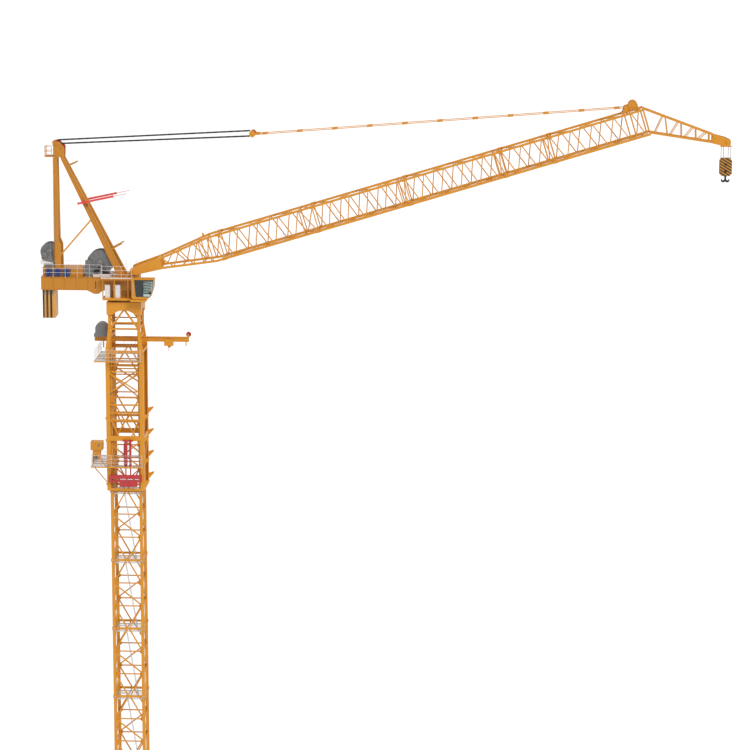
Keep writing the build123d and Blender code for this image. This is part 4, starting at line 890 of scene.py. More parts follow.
def piece(name: str, form: Form, finish: Finish, body: str, crease: float = 35.0) -> bpy.types.Object:
    """Makes one object of the crane from a form.

    Args:
        name: name of the piece.
        form: its surfaces, in the frame's metres.
        finish: its finish.
        body: the body that it moves with.
        crease: angle in degrees above which an edge stays sharp.

    Returns:
        The object, riding on its body.
    """
    mesh = bpy.data.meshes.new(name)
    mesh.vertices.add(len(form.points))
    mesh.vertices.foreach_set("co", form.points.astype(np.float32).ravel())
    mesh.loops.add(len(form.corners))
    mesh.loops.foreach_set("vertex_index", form.corners.astype(np.int32))
    mesh.polygons.add(len(form.counts))
    mesh.polygons.foreach_set("loop_start", (np.cumsum(form.counts) - form.counts).astype(np.int32))
    mesh.update(calc_edges=True)
    mesh.validate()
    mesh.shade_smooth()
    mesh.set_sharp_from_angle(angle=radians(crease))
    mesh.materials.append(finish.material())
    made = bpy.data.objects.new(name, mesh)
    bpy.context.scene.collection.objects.link(made)
    if body:
        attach(made, body)
    log.info("%s: %d faces", name, len(form.counts))
    return made


# Sub-assemblies


BOOM_ANGLE = radians(16.9)
BOOM_PIN = (0.42, 0.0, 28.11)
HEAD_SHAFT = (-3.18, 0.0, 34.14)
LOW_SHAFT = (-2.96, 0.0, 34.0)
TIP_AXLE = (28.45, 0.0, 34.46)
DECK_TOP = 27.809
HEAD_BOTTOM = 33.53
PLINTH_TOP = 28.239
QUARTERS = ((-1, -1), (-1, 1), (1, -1), (1, 1))


def on_boom(u: np.ndarray | float, v: np.ndarray | float, y: np.ndarray | float = 0.0) -> np.ndarray:
    """Places at u along the boom, v square to it and y across it, as rows of the frame's coordinates."""
    c, s = cos(BOOM_ANGLE), sin(BOOM_ANGLE)
    return rows(BOOM_PIN[0] + u * c - v * s, y, BOOM_PIN[2] + u * s + v * c)


def chord_v(u: np.ndarray | float, upper: bool) -> np.ndarray:
    """Height of the middle of a chord, with its kink at the end of the taper.

    Args:
        u: places along the boom.
        upper: whether it is an upper chord.

    Returns:
        The height at each place, square to the boom.
    """
    if upper:
        return np.interp(u, (1.445, 3.9), (0.215, 0.549))
    return np.interp(u, (1.445, 4.05), (-0.238, -0.648))


def leg_y(z: np.ndarray | float) -> np.ndarray | float:
    """Distance from the middle of the A-frame to the middle of a leg at a height: they lean in upwards."""
    return 0.45 - 0.21 * (z - DECK_TOP) / (HEAD_BOTTOM - DECK_TOP)


def front_x(z: float, front: bool) -> float:
    """Back or front edge of the A-frame's front legs at a height, along X."""
    share = (HEAD_BOTTOM - z) / (HEAD_BOTTOM - DECK_TOP)
    return -3.02 + 2.73 * share + ((0.165 + 0.195 * share) if front else 0.0)


@dataclass
class Sheave:
    """A rope sheave with a grooved rim, a thin web with round holes, and a hub.

    Attributes:
        centre: middle of the sheave.
        radius: to the edge of the rim.
        width: of the rim.
        bore: radius of the hole for the shaft.
        holes: number of lightening holes.
        rib: width of the web between two holes, as a share of the radius.
    """

    centre: Point
    radius: float
    width: float
    bore: float
    holes: int = 6
    rib: float = 0.46

    def form(self) -> Form:
        """Rim and hub as rings of revolution about Y, with ribs between them.

        Returns:
            The sheave.
        """
        r, w = self.radius, self.width / 2
        rim = [(r * 0.80, -w * 0.7), (r, -w), (r * 0.99, -w * 0.55), (r * 0.90, -w * 0.25),
               (r * 0.90, w * 0.25), (r * 0.99, w * 0.55), (r, w), (r * 0.80, w * 0.7)]
        hub = [(self.bore * 1.02, -w), (self.bore * 2.0, -w), (self.bore * 2.1, -w * 0.8),
               (self.bore * 2.1, w * 0.8), (self.bore * 2.0, w), (self.bore * 1.02, w)]
        forms = [lathe(rim, self.centre, (0, -1, 0), 40, True), lathe(hub, self.centre, (0, -1, 0), 24, True)]
        inner, outer = (around(self.centre, reach, self.holes) for reach in (self.bore * 1.8, r * 0.84))
        forms.append(bars(inner, outer, rectangle(r * self.rib, w * 0.8), (0, 1, 0)))
        return joined(forms)


@dataclass
class Rope:
    """A taut stranded rope between two points.

    Attributes:
        start: first end.
        end: last end.
        radius: of the rope.
        lay: length of one turn of its strands.
    """

    start: Point
    end: Point
    radius: float = 0.012
    lay: float = 0.16

    def form(self, rings: int = 60) -> Form:
        """The stranded section carried from start to end, turned once in each lay.

        Args:
            rings: number of steps along the rope.

        Returns:
            The rope.
        """
        start, end = np.array(self.start, float), np.array(self.end, float)
        share = np.linspace(0, 1, rings + 1)
        path = start + (end - start) * share[:, None]
        length = float(np.linalg.norm(end - start))
        up = (0, 1, 0) if abs(end[1] - start[1]) < 0.9 * length else (1, 0, 0)
        return sweep(path, wave_round(12, self.radius, 6, self.radius * 0.22), up,
                     share * length / self.lay * tau / 6)


@dataclass
class Winch:
    """A winch across the deck: a wound drum between two flanged discs, with its stands and gear case.

    Attributes:
        name: name of the piece's node.
        centre: middle of the drum's axis.
        radius: of the discs.
        barrel: radius of the drum.
        reach: half the length between the discs' outer faces.
        floor: height that the stands stand on.
        case: low and high corners of the gear case.
    """

    name: str
    centre: Point
    radius: float
    barrel: float
    reach: float
    floor: float
    case: tuple[Point, Point]

    def discs(self) -> Form:
        """Both discs, each with a rolled rim, a ring of ribs, a hub and two rings of bolts.

        Returns:
            Both discs.
        """
        r, x, z = self.radius, self.centre[0], self.centre[2]
        forms = []
        for side in (-1, 1):
            face = side * self.reach
            ring = [(0.05, -0.012), (r - 0.03, -0.012), (r, -0.022), (r, 0.022), (r - 0.03, 0.012),
                    (0.05, 0.012)]
            forms.append(lathe(ring, (x, face - side * 0.024, z), (0, -1, 0), 72, True))
            hub = [(0.04, 0.0), (0.15, 0.0), (0.16, 0.02), (0.11, 0.05), (0.085, 0.08), (0.04, 0.08)]
            forms.append(lathe(hub, (x, face, z), (0, side, 0), 32, True))
            middle = (x, face - side * 0.002, z)
            inner, outer = (around(middle, reach, 12, 0.1) for reach in (0.18, r * 0.94))
            forms.append(bars(inner, outer, rectangle(0.02, 0.014), (0, 1, 0)))
            for count, reach, size in ((24, r * 0.965, 0.008), (16, 0.135, 0.009)):
                places = around((x, face, z), reach, count)
                forms.append(bolts(places, (0, side, 0), size, 0.022 if reach > 0.2 else 0.03))
        return joined(forms)

    def windings(self) -> Form:
        """Drum covered by its rope: the radius swells and sinks once for every turn of rope.

        Returns:
            The wound drum.
        """
        length = 2 * self.reach - 0.05
        turns = int(length / 0.024)
        steps = np.linspace(0, turns, turns * 6 + 1)
        reach = self.barrel + 0.022 * np.abs(np.sin(np.pi * steps))
        outline = [(0.05, -length / 2)] + [(radius, length * (step / turns - 0.5))
                                           for radius, step in zip(reach, steps)]
        outline.append((0.05, length / 2))
        return lathe(outline, self.centre, (0, -1, 0), 40, True)

    def stands(self) -> Form:
        """Bearing stands outside the discs, with foot plates, bearing caps, bolts and a cross tube.

        Returns:
            Both stands.
        """
        x, z, r = self.centre[0], self.centre[2], self.radius
        forms = []
        for side in (-1, 1):
            near, far = self.reach + 0.035, self.reach + 0.075
            shape = [(x - r * 0.5, self.floor + 0.03), (x + r * 0.6, self.floor + 0.03),
                     (x + r * 0.2, z + 0.09), (x - r * 0.2, z + 0.09)]
            forms.append(plate(shape, Facing.SIDE, side * near, side * far))
            y0, y1 = sorted((side * near, side * far))
            forms.append(box((x - r * 0.56, y0 - 0.02, self.floor),
                             (x + r * 0.66, y1 + 0.02, self.floor + 0.03)))
            cap = [(0.02, 0.0), (0.10, 0.0), (0.115, 0.015), (0.115, 0.04), (0.07, 0.06), (0.02, 0.062)]
            forms.append(lathe(cap, (x, side * far, z), (0, side, 0), 32, True))
            forms.append(bolts(around((x, side * (far + 0.03), z), 0.092, 8), (0, side, 0), 0.008, 0.022))
            feet = np.array([(x + dx, side * (near + 0.02), self.floor + 0.03)
                             for dx in (-r * 0.53, r * 0.63)])
            forms.append(bolts(feet, (0, 0, 1), 0.012, 0.02))
        forms.append(bars((x, -self.reach - 0.06, z), (x, self.reach + 0.06, z),
                          polygon(24, 0.045), (1, 0, 0)))
        return joined(forms)

    def gear_case(self) -> Form:
        """Gear case with a bevelled lid, ribs, a brake drum and bolts round its edge.

        Returns:
            The gear case.
        """
        (x0, y0, z0), (x1, y1, z1) = self.case
        b = 0.035
        outline = [(x0 + b, z0), (x1 - b, z0), (x1, z0 + b), (x1, z1 - b), (x1 - b, z1), (x0 + b, z1),
                   (x0, z1 - b), (x0, z0 + b)]
        forms = [plate(outline, Facing.SIDE, y0, y1)]
        inner = [(x0 + 0.05, z0 + 0.05), (x1 - 0.05, z0 + 0.05), (x1 - 0.05, z1 - 0.05),
                 (x0 + 0.05, z1 - 0.05)]
        forms.append(plate(inner, Facing.SIDE, y0 - 0.014, y0 + 0.002))
        for share in (0.25, 0.5, 0.75):
            z = z0 + (z1 - z0) * share
            forms.append(box((x0 - 0.012, y0 - 0.008, z - 0.008), (x1 + 0.012, y1 + 0.004, z + 0.008)))
        edge = np.linspace(0.12, 0.88, 5)
        places = [(x0 + (x1 - x0) * share, y0 - 0.012, z) for share in edge for z in (z0 + 0.07, z1 - 0.07)]
        forms.append(bolts(np.array(places), (0, -1, 0), 0.009, 0.012))
        middle = ((x0 + x1) / 2, y0 - 0.01, z0 + (z1 - z0) * 0.62)
        brake = [(0.02, 0.0), (0.11, 0.0), (0.12, 0.01), (0.12, 0.05), (0.10, 0.06), (0.02, 0.065)]
        forms.append(lathe(brake, middle, (0, -1, 0), 28, True))
        return joined(forms)

    def build(self) -> None:
        """Makes the winch's pieces, which stand for its node."""
        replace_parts(piece(f"{self.name}_discs", self.discs(), GREY, "upper_works"), self.name)
        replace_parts(piece(f"{self.name}_stands", self.stands(), GREY, "upper_works"), self.name)
        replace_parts(piece(f"{self.name}_gear_case", self.gear_case(), GREY, "upper_works"), self.name)
        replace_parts(piece(f"{self.name}_windings", self.windings(), LUFF_WIRE, "upper_works", 60), self.name)


@dataclass
class Skid:
    """Pale base frame of the hoist winch with its valve blocks, pumps and hoses on the near side.

    Attributes:
        middle: middle of the winch along X.
        near: outer face of the winch's stand on the near side.
    """

    middle: float = -1.19
    near: float = -0.425

    def frame(self) -> Form:
        """Two side beams joined by cross beams, with bolted feet.

        Returns:
            The skid.
        """
        x, z = self.middle, DECK_TOP
        forms = []
        for side in (-1, 1):
            y0, y1 = sorted((side * 0.425, side * 0.50))
            forms.append(box((x - 0.30, y0, z), (x + 0.52, y1, z + 0.13)))
            forms.append(box((x - 0.30, y0 - 0.006, z + 0.125), (x + 0.52, y1 + 0.006, z + 0.14)))
            places = np.array([(x + dx, side * 0.5, z + 0.065) for dx in np.linspace(-0.22, 0.44, 6)])
            forms.append(bolts(places, (0, side, 0), 0.010, 0.012))
        return joined(forms)

    def machinery(self) -> Form:
        """Valve block with round caps, two pumps, and hoses that bow between them.

        Returns:
            The blocks, pumps and hoses.
        """
        x, y, z = self.middle, self.near, DECK_TOP + 0.14
        forms = [box((x - 0.26, y - 0.07, z), (x - 0.04, y, z + 0.16)),
                 box((x + 0.10, y - 0.06, z), (x + 0.24, y, z + 0.12))]
        cap = [(POLE, 0), (0.026, 0), (0.028, 0.006), (0.022, 0.022), (POLE, 0.024)]
        for dx in (-0.22, -0.15, -0.08):
            forms.append(lathe(cap, (x + dx, y - 0.07, z + 0.11), (0, -1, 0), 16))
            forms.append(lathe(cap, (x + dx, y - 0.07, z + 0.04), (0, -1, 0), 16))
        pump = [(POLE, 0), (0.045, 0), (0.05, 0.01), (0.05, 0.13), (0.035, 0.14), (0.035, 0.19), (POLE, 0.19)]
        forms.append(lathe(pump, (x + 0.26, y - 0.035, z + 0.06), (1, 0, 0), 24))
        forms.append(lathe(pump, (x - 0.02, y - 0.035, z + 0.24), (-1, 0, 0), 24))
        t = np.linspace(0, 1, 16)
        for k in range(4):
            rise = 0.16 + 0.05 * k
            path = rows(x - 0.22 + 0.07 * k + (0.30 + 0.02 * k) * t, y - 0.05 - 0.01 * k,
                        z + 0.15 + rise * np.sin(pi * t) - 0.03 * t)
            forms.append(sweep(path, polygon(8, 0.010), (0, 1, 0)))
        return joined(forms)

    def build(self) -> None:
        """Makes the skid and its machinery."""
        piece("hoist_skid", self.frame(), CABINET, "upper_works")
        piece("hoist_machinery", self.machinery(), FORGED, "upper_works")


@dataclass
class SlewDrives:
    """Two upright slewing drives on the turning platform, behind the pedestal.

    Attributes:
        places: middle of each drive.
        floor: height of the platform.
    """

    places: tuple[tuple[float, float], ...] = ((-0.62, 0.80), (0.16, 0.80))
    floor: float = 26.8703

    def form(self) -> Form:
        """Flanged gear case, finned motor and cover of each drive, with bolts round the flange.

        Returns:
            Both drives.
        """
        outline = [(POLE, 0.0), (0.135, 0.0), (0.135, 0.02), (0.105, 0.025), (0.10, 0.20), (0.115, 0.205),
                   (0.115, 0.225), (0.075, 0.23)]
        for fin in range(9):
            h = 0.24 + fin * 0.02
            outline += [(0.072, h), (0.086, h + 0.002), (0.086, h + 0.010), (0.072, h + 0.012)]
        outline += [(0.078, 0.425), (0.078, 0.45), (0.05, 0.465), (POLE, 0.468)]
        forms = []
        angle = np.arange(10) * tau / 10
        for x, y in self.places:
            forms.append(lathe(outline, (x, y, self.floor), (0, 0, 1), 32))
            ring = rows(x + 0.12 * np.cos(angle), y + 0.12 * np.sin(angle), self.floor + 0.02)
            forms.append(bolts(ring, (0, 0, 1), 0.009, 0.012))
            forms.append(box((x - 0.04, y + 0.07, self.floor + 0.28),
                             (x + 0.04, y + 0.12, self.floor + 0.36)))
        return joined(forms)

    def build(self) -> None:
        """Makes the drives."""
        piece("slewing_drives", self.form(), GREY, "upper_works")


@dataclass
class Tray:
    """Pale drip tray under the luffing winch, on four legs above the plinth.

    Attributes:
        middle: middle of the winch along X.
        half: half the tray's width.
    """

    middle: float = -3.62
    half: float = 0.40

    def form(self) -> Form:
        """Shallow tray with a sloping back, a turned lip along its edges, and legs with feet.

        Returns:
            The tray.
        """
        x, z = self.middle, PLINTH_TOP
        forms = [plate([(x - 0.45, z + 0.176), (x + 0.20, z + 0.176), (x + 0.20, z + 0.212),
                        (x - 0.33, z + 0.32), (x - 0.40, z + 0.32)], Facing.SIDE, -self.half, self.half)]
        for side in (-1, 1):
            y = side * (self.half + 0.002)
            forms.append(bars((x - 0.335, y, z + 0.326), (x + 0.20, y, z + 0.218),
                              rectangle(0.012, 0.022), (0, 1, 0)))
            for dx in (-0.26, 0.12):
                forms.append(bars((x + dx, side * 0.27, z), (x + dx, side * 0.27, z + 0.18),
                                  rectangle(0.04, 0.04), (1, 0, 0)))
                forms.append(box((x + dx - 0.04, side * 0.27 - 0.04, z),
                                 (x + dx + 0.04, side * 0.27 + 0.04, z + 0.010)))
        return joined(forms)

    def build(self) -> None:
        """Makes the tray, which is part of the luffing winch's node."""
        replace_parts(piece("luffing_tray", self.form(), CABINET, "upper_works"), "luffing_winch")


@dataclass
class Motors:
    """Finned hydraulic motors in rows along the near side of the plinth.

    Attributes:
        starts: back end of each motor, along X.
        levels: heights of the rows.
        length: of one motor with its pump end.
        y: middle of the rows across the deck.
        radius: over the fins.
    """

    starts: tuple[float, ...] = (-3.80, -3.38, -2.96)
    levels: tuple[float, ...] = (27.905, 28.018, 28.131)
    length: float = 0.37
    y: float = -0.519
    radius: float = 0.044

    def form(self) -> Form:
        """Each motor as one outline of fins turned about its axis, with a pump end and a junction box.

        Returns:
            All motors.
        """
        r = self.radius
        outline = [(POLE, 0.0), (r * 0.5, 0.0), (r * 0.55, 0.02), (r * 0.9, 0.025), (r * 0.9, 0.05)]
        for fin in range(14):
            h = 0.055 + fin * 0.016
            outline += [(r * 0.82, h), (r, h + 0.002), (r, h + 0.008), (r * 0.82, h + 0.010)]
        outline += [(r * 0.95, 0.285), (r * 0.95, 0.31), (r * 0.6, 0.32), (r * 0.6, self.length),
                    (POLE, self.length)]
        forms = []
        for x in self.starts:
            for z in self.levels:
                forms.append(lathe(outline, (x, self.y, z), (1, 0, 0), 28))
            top = self.levels[-1] + r - 0.004
            forms.append(box((x + 0.11, self.y - 0.03, top), (x + 0.21, self.y + 0.03, top + 0.045)))
        return joined(forms)

    def saddles(self) -> Form:
        """Brackets under each pair of motors, bolted to the deck.

        Returns:
            The brackets.
        """
        forms = []
        for x in self.starts:
            for dx in (0.1, 0.27):
                forms.append(box((x + dx - 0.012, self.y - 0.041, DECK_TOP),
                                 (x + dx + 0.012, self.y + 0.041, self.levels[-1] + 0.02)))
            forms.append(box((x + 0.06, self.y - 0.047, DECK_TOP),
                             (x + 0.31, self.y + 0.047, DECK_TOP + 0.010)))
            places = np.array([(x + dx, self.y + dy, DECK_TOP + 0.010) for dx in (0.075, 0.295)
                               for dy in (-0.036, 0.036)])
            forms.append(bolts(places, (0, 0, 1), 0.007, 0.008))
        return joined(forms)

    def hoses(self) -> Form:
        """Hoses that curve from each pump end up to the plinth.

        Returns:
            The hoses.
        """
        forms = []
        for x in self.starts:
            for k, z in enumerate(self.levels):
                t = np.linspace(0, pi / 2, 9)
                reach = 0.05 + 0.012 * k
                path = rows(x + 0.36 + reach * np.sin(t) * 0.5, self.y + reach * (1 - np.cos(t)),
                            z + 0.10 * np.sin(t))
                forms.append(sweep(path, polygon(10, 0.008), (0.2, 0.3, 1)))
        return joined(forms)

    def build(self) -> None:
        """Makes the motors, which stand for their node, and what holds and feeds them."""
        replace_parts(piece("drive_motors", self.form(), BLUE, "upper_works"), "winch_drives")
        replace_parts(piece("drive_saddles", self.saddles(), BLUE, "upper_works"), "winch_drives")
        piece("drive_hoses", self.hoses(), LUFF_WIRE, "upper_works", 60)


@dataclass
class LuffTackle:
    """Sheaves at the A-frame's head and in the floating block, and the luffing ropes between them.

    Attributes:
        upper: places across of the falls from the high shaft.
        lower: places across of the falls from the low shaft.
        block_x: where the ropes reach the floating block.
        block_z: middle height of the floating block.
        keep: share of the ropes' length that is left when the boom is all the way up; not used.
    """

    upper: tuple[float, ...] = (-0.09, 0.03, 0.15)
    lower: tuple[float, ...] = (-0.15, -0.03, 0.09)
    block_x: float = 6.03
    block_z: float = 34.70
    keep: float = 0.176

    def sheaves(self) -> Form:
        """Three grooved sheaves on each shaft of the head.

        Returns:
            The six sheaves.
        """
        forms = [Sheave((HEAD_SHAFT[0], y, HEAD_SHAFT[2]), 0.184, 0.04, 0.046).form() for y in self.upper]
        forms += [Sheave((LOW_SHAFT[0], y, LOW_SHAFT[2]), 0.163, 0.04, 0.046).form() for y in self.lower]
        return joined(forms)

    def ropes(self) -> Form:
        """Taut falls from the top of each head sheave to the floating block.

        Returns:
            The six falls.
        """
        forms = [Rope((HEAD_SHAFT[0], y, HEAD_SHAFT[2] + 0.179), (self.block_x, y, self.block_z + 0.125),
                      0.028, 0.36).form(90) for y in self.upper]
        forms += [Rope((LOW_SHAFT[0], y, LOW_SHAFT[2] + 0.158), (self.block_x, y, self.block_z - 0.125),
                       0.028, 0.36).form(90) for y in self.lower]
        return joined(forms)

    def cheeks(self) -> Form:
        """The floating block's outer and inner plates, lozenge-shaped, with an arm out to the pendants.

        Returns:
            The plates with their shafts.
        """
        x, z = self.block_x + 0.14, self.block_z
        shape = [(x - 0.15, z - 0.07), (x - 0.02, z - 0.165), (x + 0.05, z - 0.155), (x + 0.16, z - 0.045),
                 (x + 0.38, z - 0.028), (x + 0.38, z + 0.024), (x + 0.16, z + 0.040), (x + 0.05, z + 0.155),
                 (x - 0.02, z + 0.165), (x - 0.15, z + 0.07)]
        forms = []
        for y in (-0.335, -0.265, 0.265, 0.335):
            forms.append(plate(shape, Facing.SIDE, y - 0.008, y + 0.008))
        inner = [(x - 0.14, z - 0.09), (x - 0.02, z - 0.15), (x + 0.11, z - 0.09), (x + 0.11, z + 0.09),
                 (x - 0.02, z + 0.15), (x - 0.14, z + 0.09)]
        for y in (-0.205, 0.205):
            forms.append(plate(inner, Facing.SIDE, y - 0.008, y + 0.008))
        for px, pz in ((x - 0.09, z - 0.09), (x + 0.12, z), (x - 0.09, z + 0.09), (x + 0.36, z)):
            forms.append(bars((px, -0.345, pz), (px, 0.345, pz), polygon(16, 0.020), (1, 0, 0)))
        cap = [(POLE, 0), (0.055, 0), (0.058, 0.008), (0.045, 0.022), (POLE, 0.022)]
        forms += [lathe(cap, (x, side * 0.343, z), (0, side, 0), 24) for side in (-1, 1)]
        return joined(forms)

    def block_sheaves(self) -> Form:
        """Six grooved sheaves on the floating block's shaft.

        Returns:
            The sheaves with their shaft.
        """
        x, z = self.block_x + 0.14, self.block_z
        forms = [Sheave((x, y, z), 0.142, 0.034, 0.042).form() for y in (*self.upper, *self.lower)]
        forms.append(bars((x, -0.345, z), (x, 0.345, z), polygon(20, 0.040), (1, 0, 0)))
        return joined(forms)

    def build(self) -> None:
        """Makes the sheaves and the ropes, and hangs the ropes on their own body."""
        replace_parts(piece("floating_cheeks", self.cheeks(), YELLOW, "pendants"), "floating_block")
        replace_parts(piece("floating_sheaves", self.block_sheaves(), RED, "pendants"), "floating_block")
        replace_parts(piece("head_sheaves", self.sheaves(), RED, "upper_works"), "aframe_sheaves")
        ropes = piece("luffing_falls", self.ropes(), LUFF_WIRE, "", 60)
        run = np.array((self.block_x - HEAD_SHAFT[0], 0.0, self.block_z - HEAD_SHAFT[2]))
        run /= np.linalg.norm(run)
        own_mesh(ropes)
        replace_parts(ropes, "luffing_ropes")
        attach(ropes, "ropes")


@dataclass
class HookTackle:
    """Falls of the hoist rope, the hook block with its hazard paint, and the double hook.

    Attributes:
        centre_x: middle of the block, along X.
        top: of the block.
        height: of the block.
        width: of the block, along X.
        depth: of the block across.
        hang: height at which the falls leave the jib's tip.
        falls: places of the falls along X and across.
    """

    centre_x: float = 28.45
    top: float = 33.705
    height: float = 0.845
    width: float = 0.58
    depth: float = 0.26
    hang: float = 34.25
    falls: tuple[tuple[float, float], ...] = ((-0.23, -0.06), (-0.11, 0.06), (0.10, -0.06), (0.23, 0.06))

    def octagon(self, inset: float) -> list[tuple[float, float]]:
        """Outline of the block's cheeks.

        Args:
            inset: how far it is drawn in.

        Returns:
            Its corners.
        """
        a, c = self.width / 2 - inset, 0.11
        x, z0, z1 = self.centre_x, self.top - self.height + inset, self.top - inset
        return [(x - a + c, z0), (x + a - c, z0), (x + a, z0 + c), (x + a, z1 - c), (x + a - c, z1),
                (x - a + c, z1), (x - a, z1 - c), (x - a, z0 + c)]

    def block(self) -> Form:
        """Thick cheeks with bevelled edges, and a narrower case between them.

        Returns:
            The cheeks and the case.
        """
        d = self.depth / 2
        forms = [plate(self.octagon(0.03), Facing.SIDE, -d + 0.05, d - 0.05)]
        for side in (-1, 1):
            forms.append(plate(self.octagon(0.0), Facing.SIDE, side * (d - 0.055), side * (d - 0.012)))
            forms.append(plate(self.octagon(0.014), Facing.SIDE, side * (d - 0.012), side * d))
        return joined(forms)

    def fittings(self) -> Form:
        """Axle caps on both cheeks, bolts round their edge, and rope guards on top.

        Returns:
            The caps, bolts and guards.
        """
        x, d = self.centre_x, self.depth / 2
        forms = []
        for side in (-1, 1):
            for dz in (0.29, 0.62):
                cap = [(POLE, 0.0), (0.055, 0.0), (0.06, 0.008), (0.05, 0.022), (POLE, 0.024)]
                forms.append(lathe(cap, (x, side * d, self.top - dz), (0, side, 0), 28))
            edge = np.array([(px, side * d, pz) for px, pz in self.octagon(0.045)])
            forms.append(bolts(edge, (0, side, 0), 0.012, 0.012))
        for dx, dy in self.falls:
            ring = [(0.016, -0.01), (0.034, -0.01), (0.036, 0.014), (0.016, 0.018)]
            forms.append(lathe(ring, (x + dx, dy, self.top - 0.012), (0, 0, 1), 20, True))
        return joined(forms)

    def hook(self) -> Form:
        """Ramshorn: each arm is a section carried round a curve, thick at its seat and thin at its point.

        Returns:
            The hook with its shank.
        """
        low = self.top - self.height
        t = np.linspace(-0.55 * pi, 0.62 * pi, 40)
        swell = 0.020 + 0.034 * np.clip(np.cos((t + 0.45) * 0.72), 0, 1) ** 0.8
        forms = []
        for side in (-1, 1):
            centre_x = self.centre_x + side * 0.098
            angle = -pi / 2 + t
            path = rows(centre_x + side * 0.078 * np.cos(angle), 0, low - 0.185 + 0.078 * np.sin(angle))
            section = polygon(20, 1.0) * (1.0, 0.92)
            forms.append(sweep(path, section, (0, 1, 0), 0.0, swell))
            forms.append(lathe([(POLE, -0.02), (0.014, -0.014), (0.02, 0.0), (0.014, 0.014), (POLE, 0.02)],
                               tuple(path[-1]), (0, 0, 1), 16))
        shank = [(POLE, -0.21), (0.045, -0.20), (0.052, -0.15), (0.044, -0.09), (0.044, -0.035),
                 (0.07, -0.03), (0.075, 0.0), (POLE, 0.0)]
        forms.append(lathe(shank, (self.centre_x, 0.0, low), (0, 0, 1), 32))
        return joined(forms)

    def build(self) -> None:
        """Makes the block and hook, and the falls from the jib's tip down to the block."""
        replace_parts(piece("block_cheeks", self.block(), HAZARD, "hook"), "hook_block")
        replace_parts(piece("block_fittings", self.fittings(), FORGED, "hook"), "hook_block")
        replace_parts(piece("ramshorn_hook", self.hook(), FORGED, "hook", 60), "hook")
        forms = [Rope((self.centre_x + dx, dy, self.hang), (self.centre_x + dx, dy, self.top)).form(24)
                 for dx, dy in self.falls]
        falls = piece("hoist_rope_falls", joined(forms), HOIST_WIRE, "", 60)
        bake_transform(falls)
        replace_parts(falls, "hoist_falls")


@dataclass
class Rail:
    """A pale guard rail: round posts, three runs of tube and a toe board along a path.

    Attributes:
        height: of the upper tube above the floor.
        pitch: greatest distance between posts.
        tube: radius of the tubes.
    """

    height: float = 0.55
    pitch: float = 0.75
    tube: float = 0.012

    def form(self, path: list[Point], toe: bool = True) -> Form:
        """The rail along a path.

        Args:
            path: its corners, at floor height.
            toe: whether it has a toe board.

        Returns:
            The rail.
        """
        corners = np.array(path, float)
        starts, ends = corners[:-1], corners[1:]
        rise = np.array((0, 0, 1.0))
        round_tube = polygon(8, self.tube)
        levels = np.array((0.34, 0.67, 1.0)) * self.height
        forms = [bars(starts + rise * level, ends + rise * level, round_tube) for level in levels]
        feet = []
        for start, end in zip(starts, ends):
            count = max(1, int(np.ceil(np.linalg.norm(end - start) / self.pitch)))
            feet.append(start + (end - start) * np.linspace(0, 1, count + 1)[:, None])
        posts = np.unique(np.round(np.vstack(feet), 4), axis=0)
        forms.append(bars(posts, posts + rise * self.height, round_tube))
        forms.append(bars(posts, posts + rise * 0.014, rectangle(0.05, 0.05)))
        if toe:
            forms.append(bars(starts + rise * 0.032, ends + rise * 0.032, rectangle(0.006, 0.045)))
        return joined(forms)


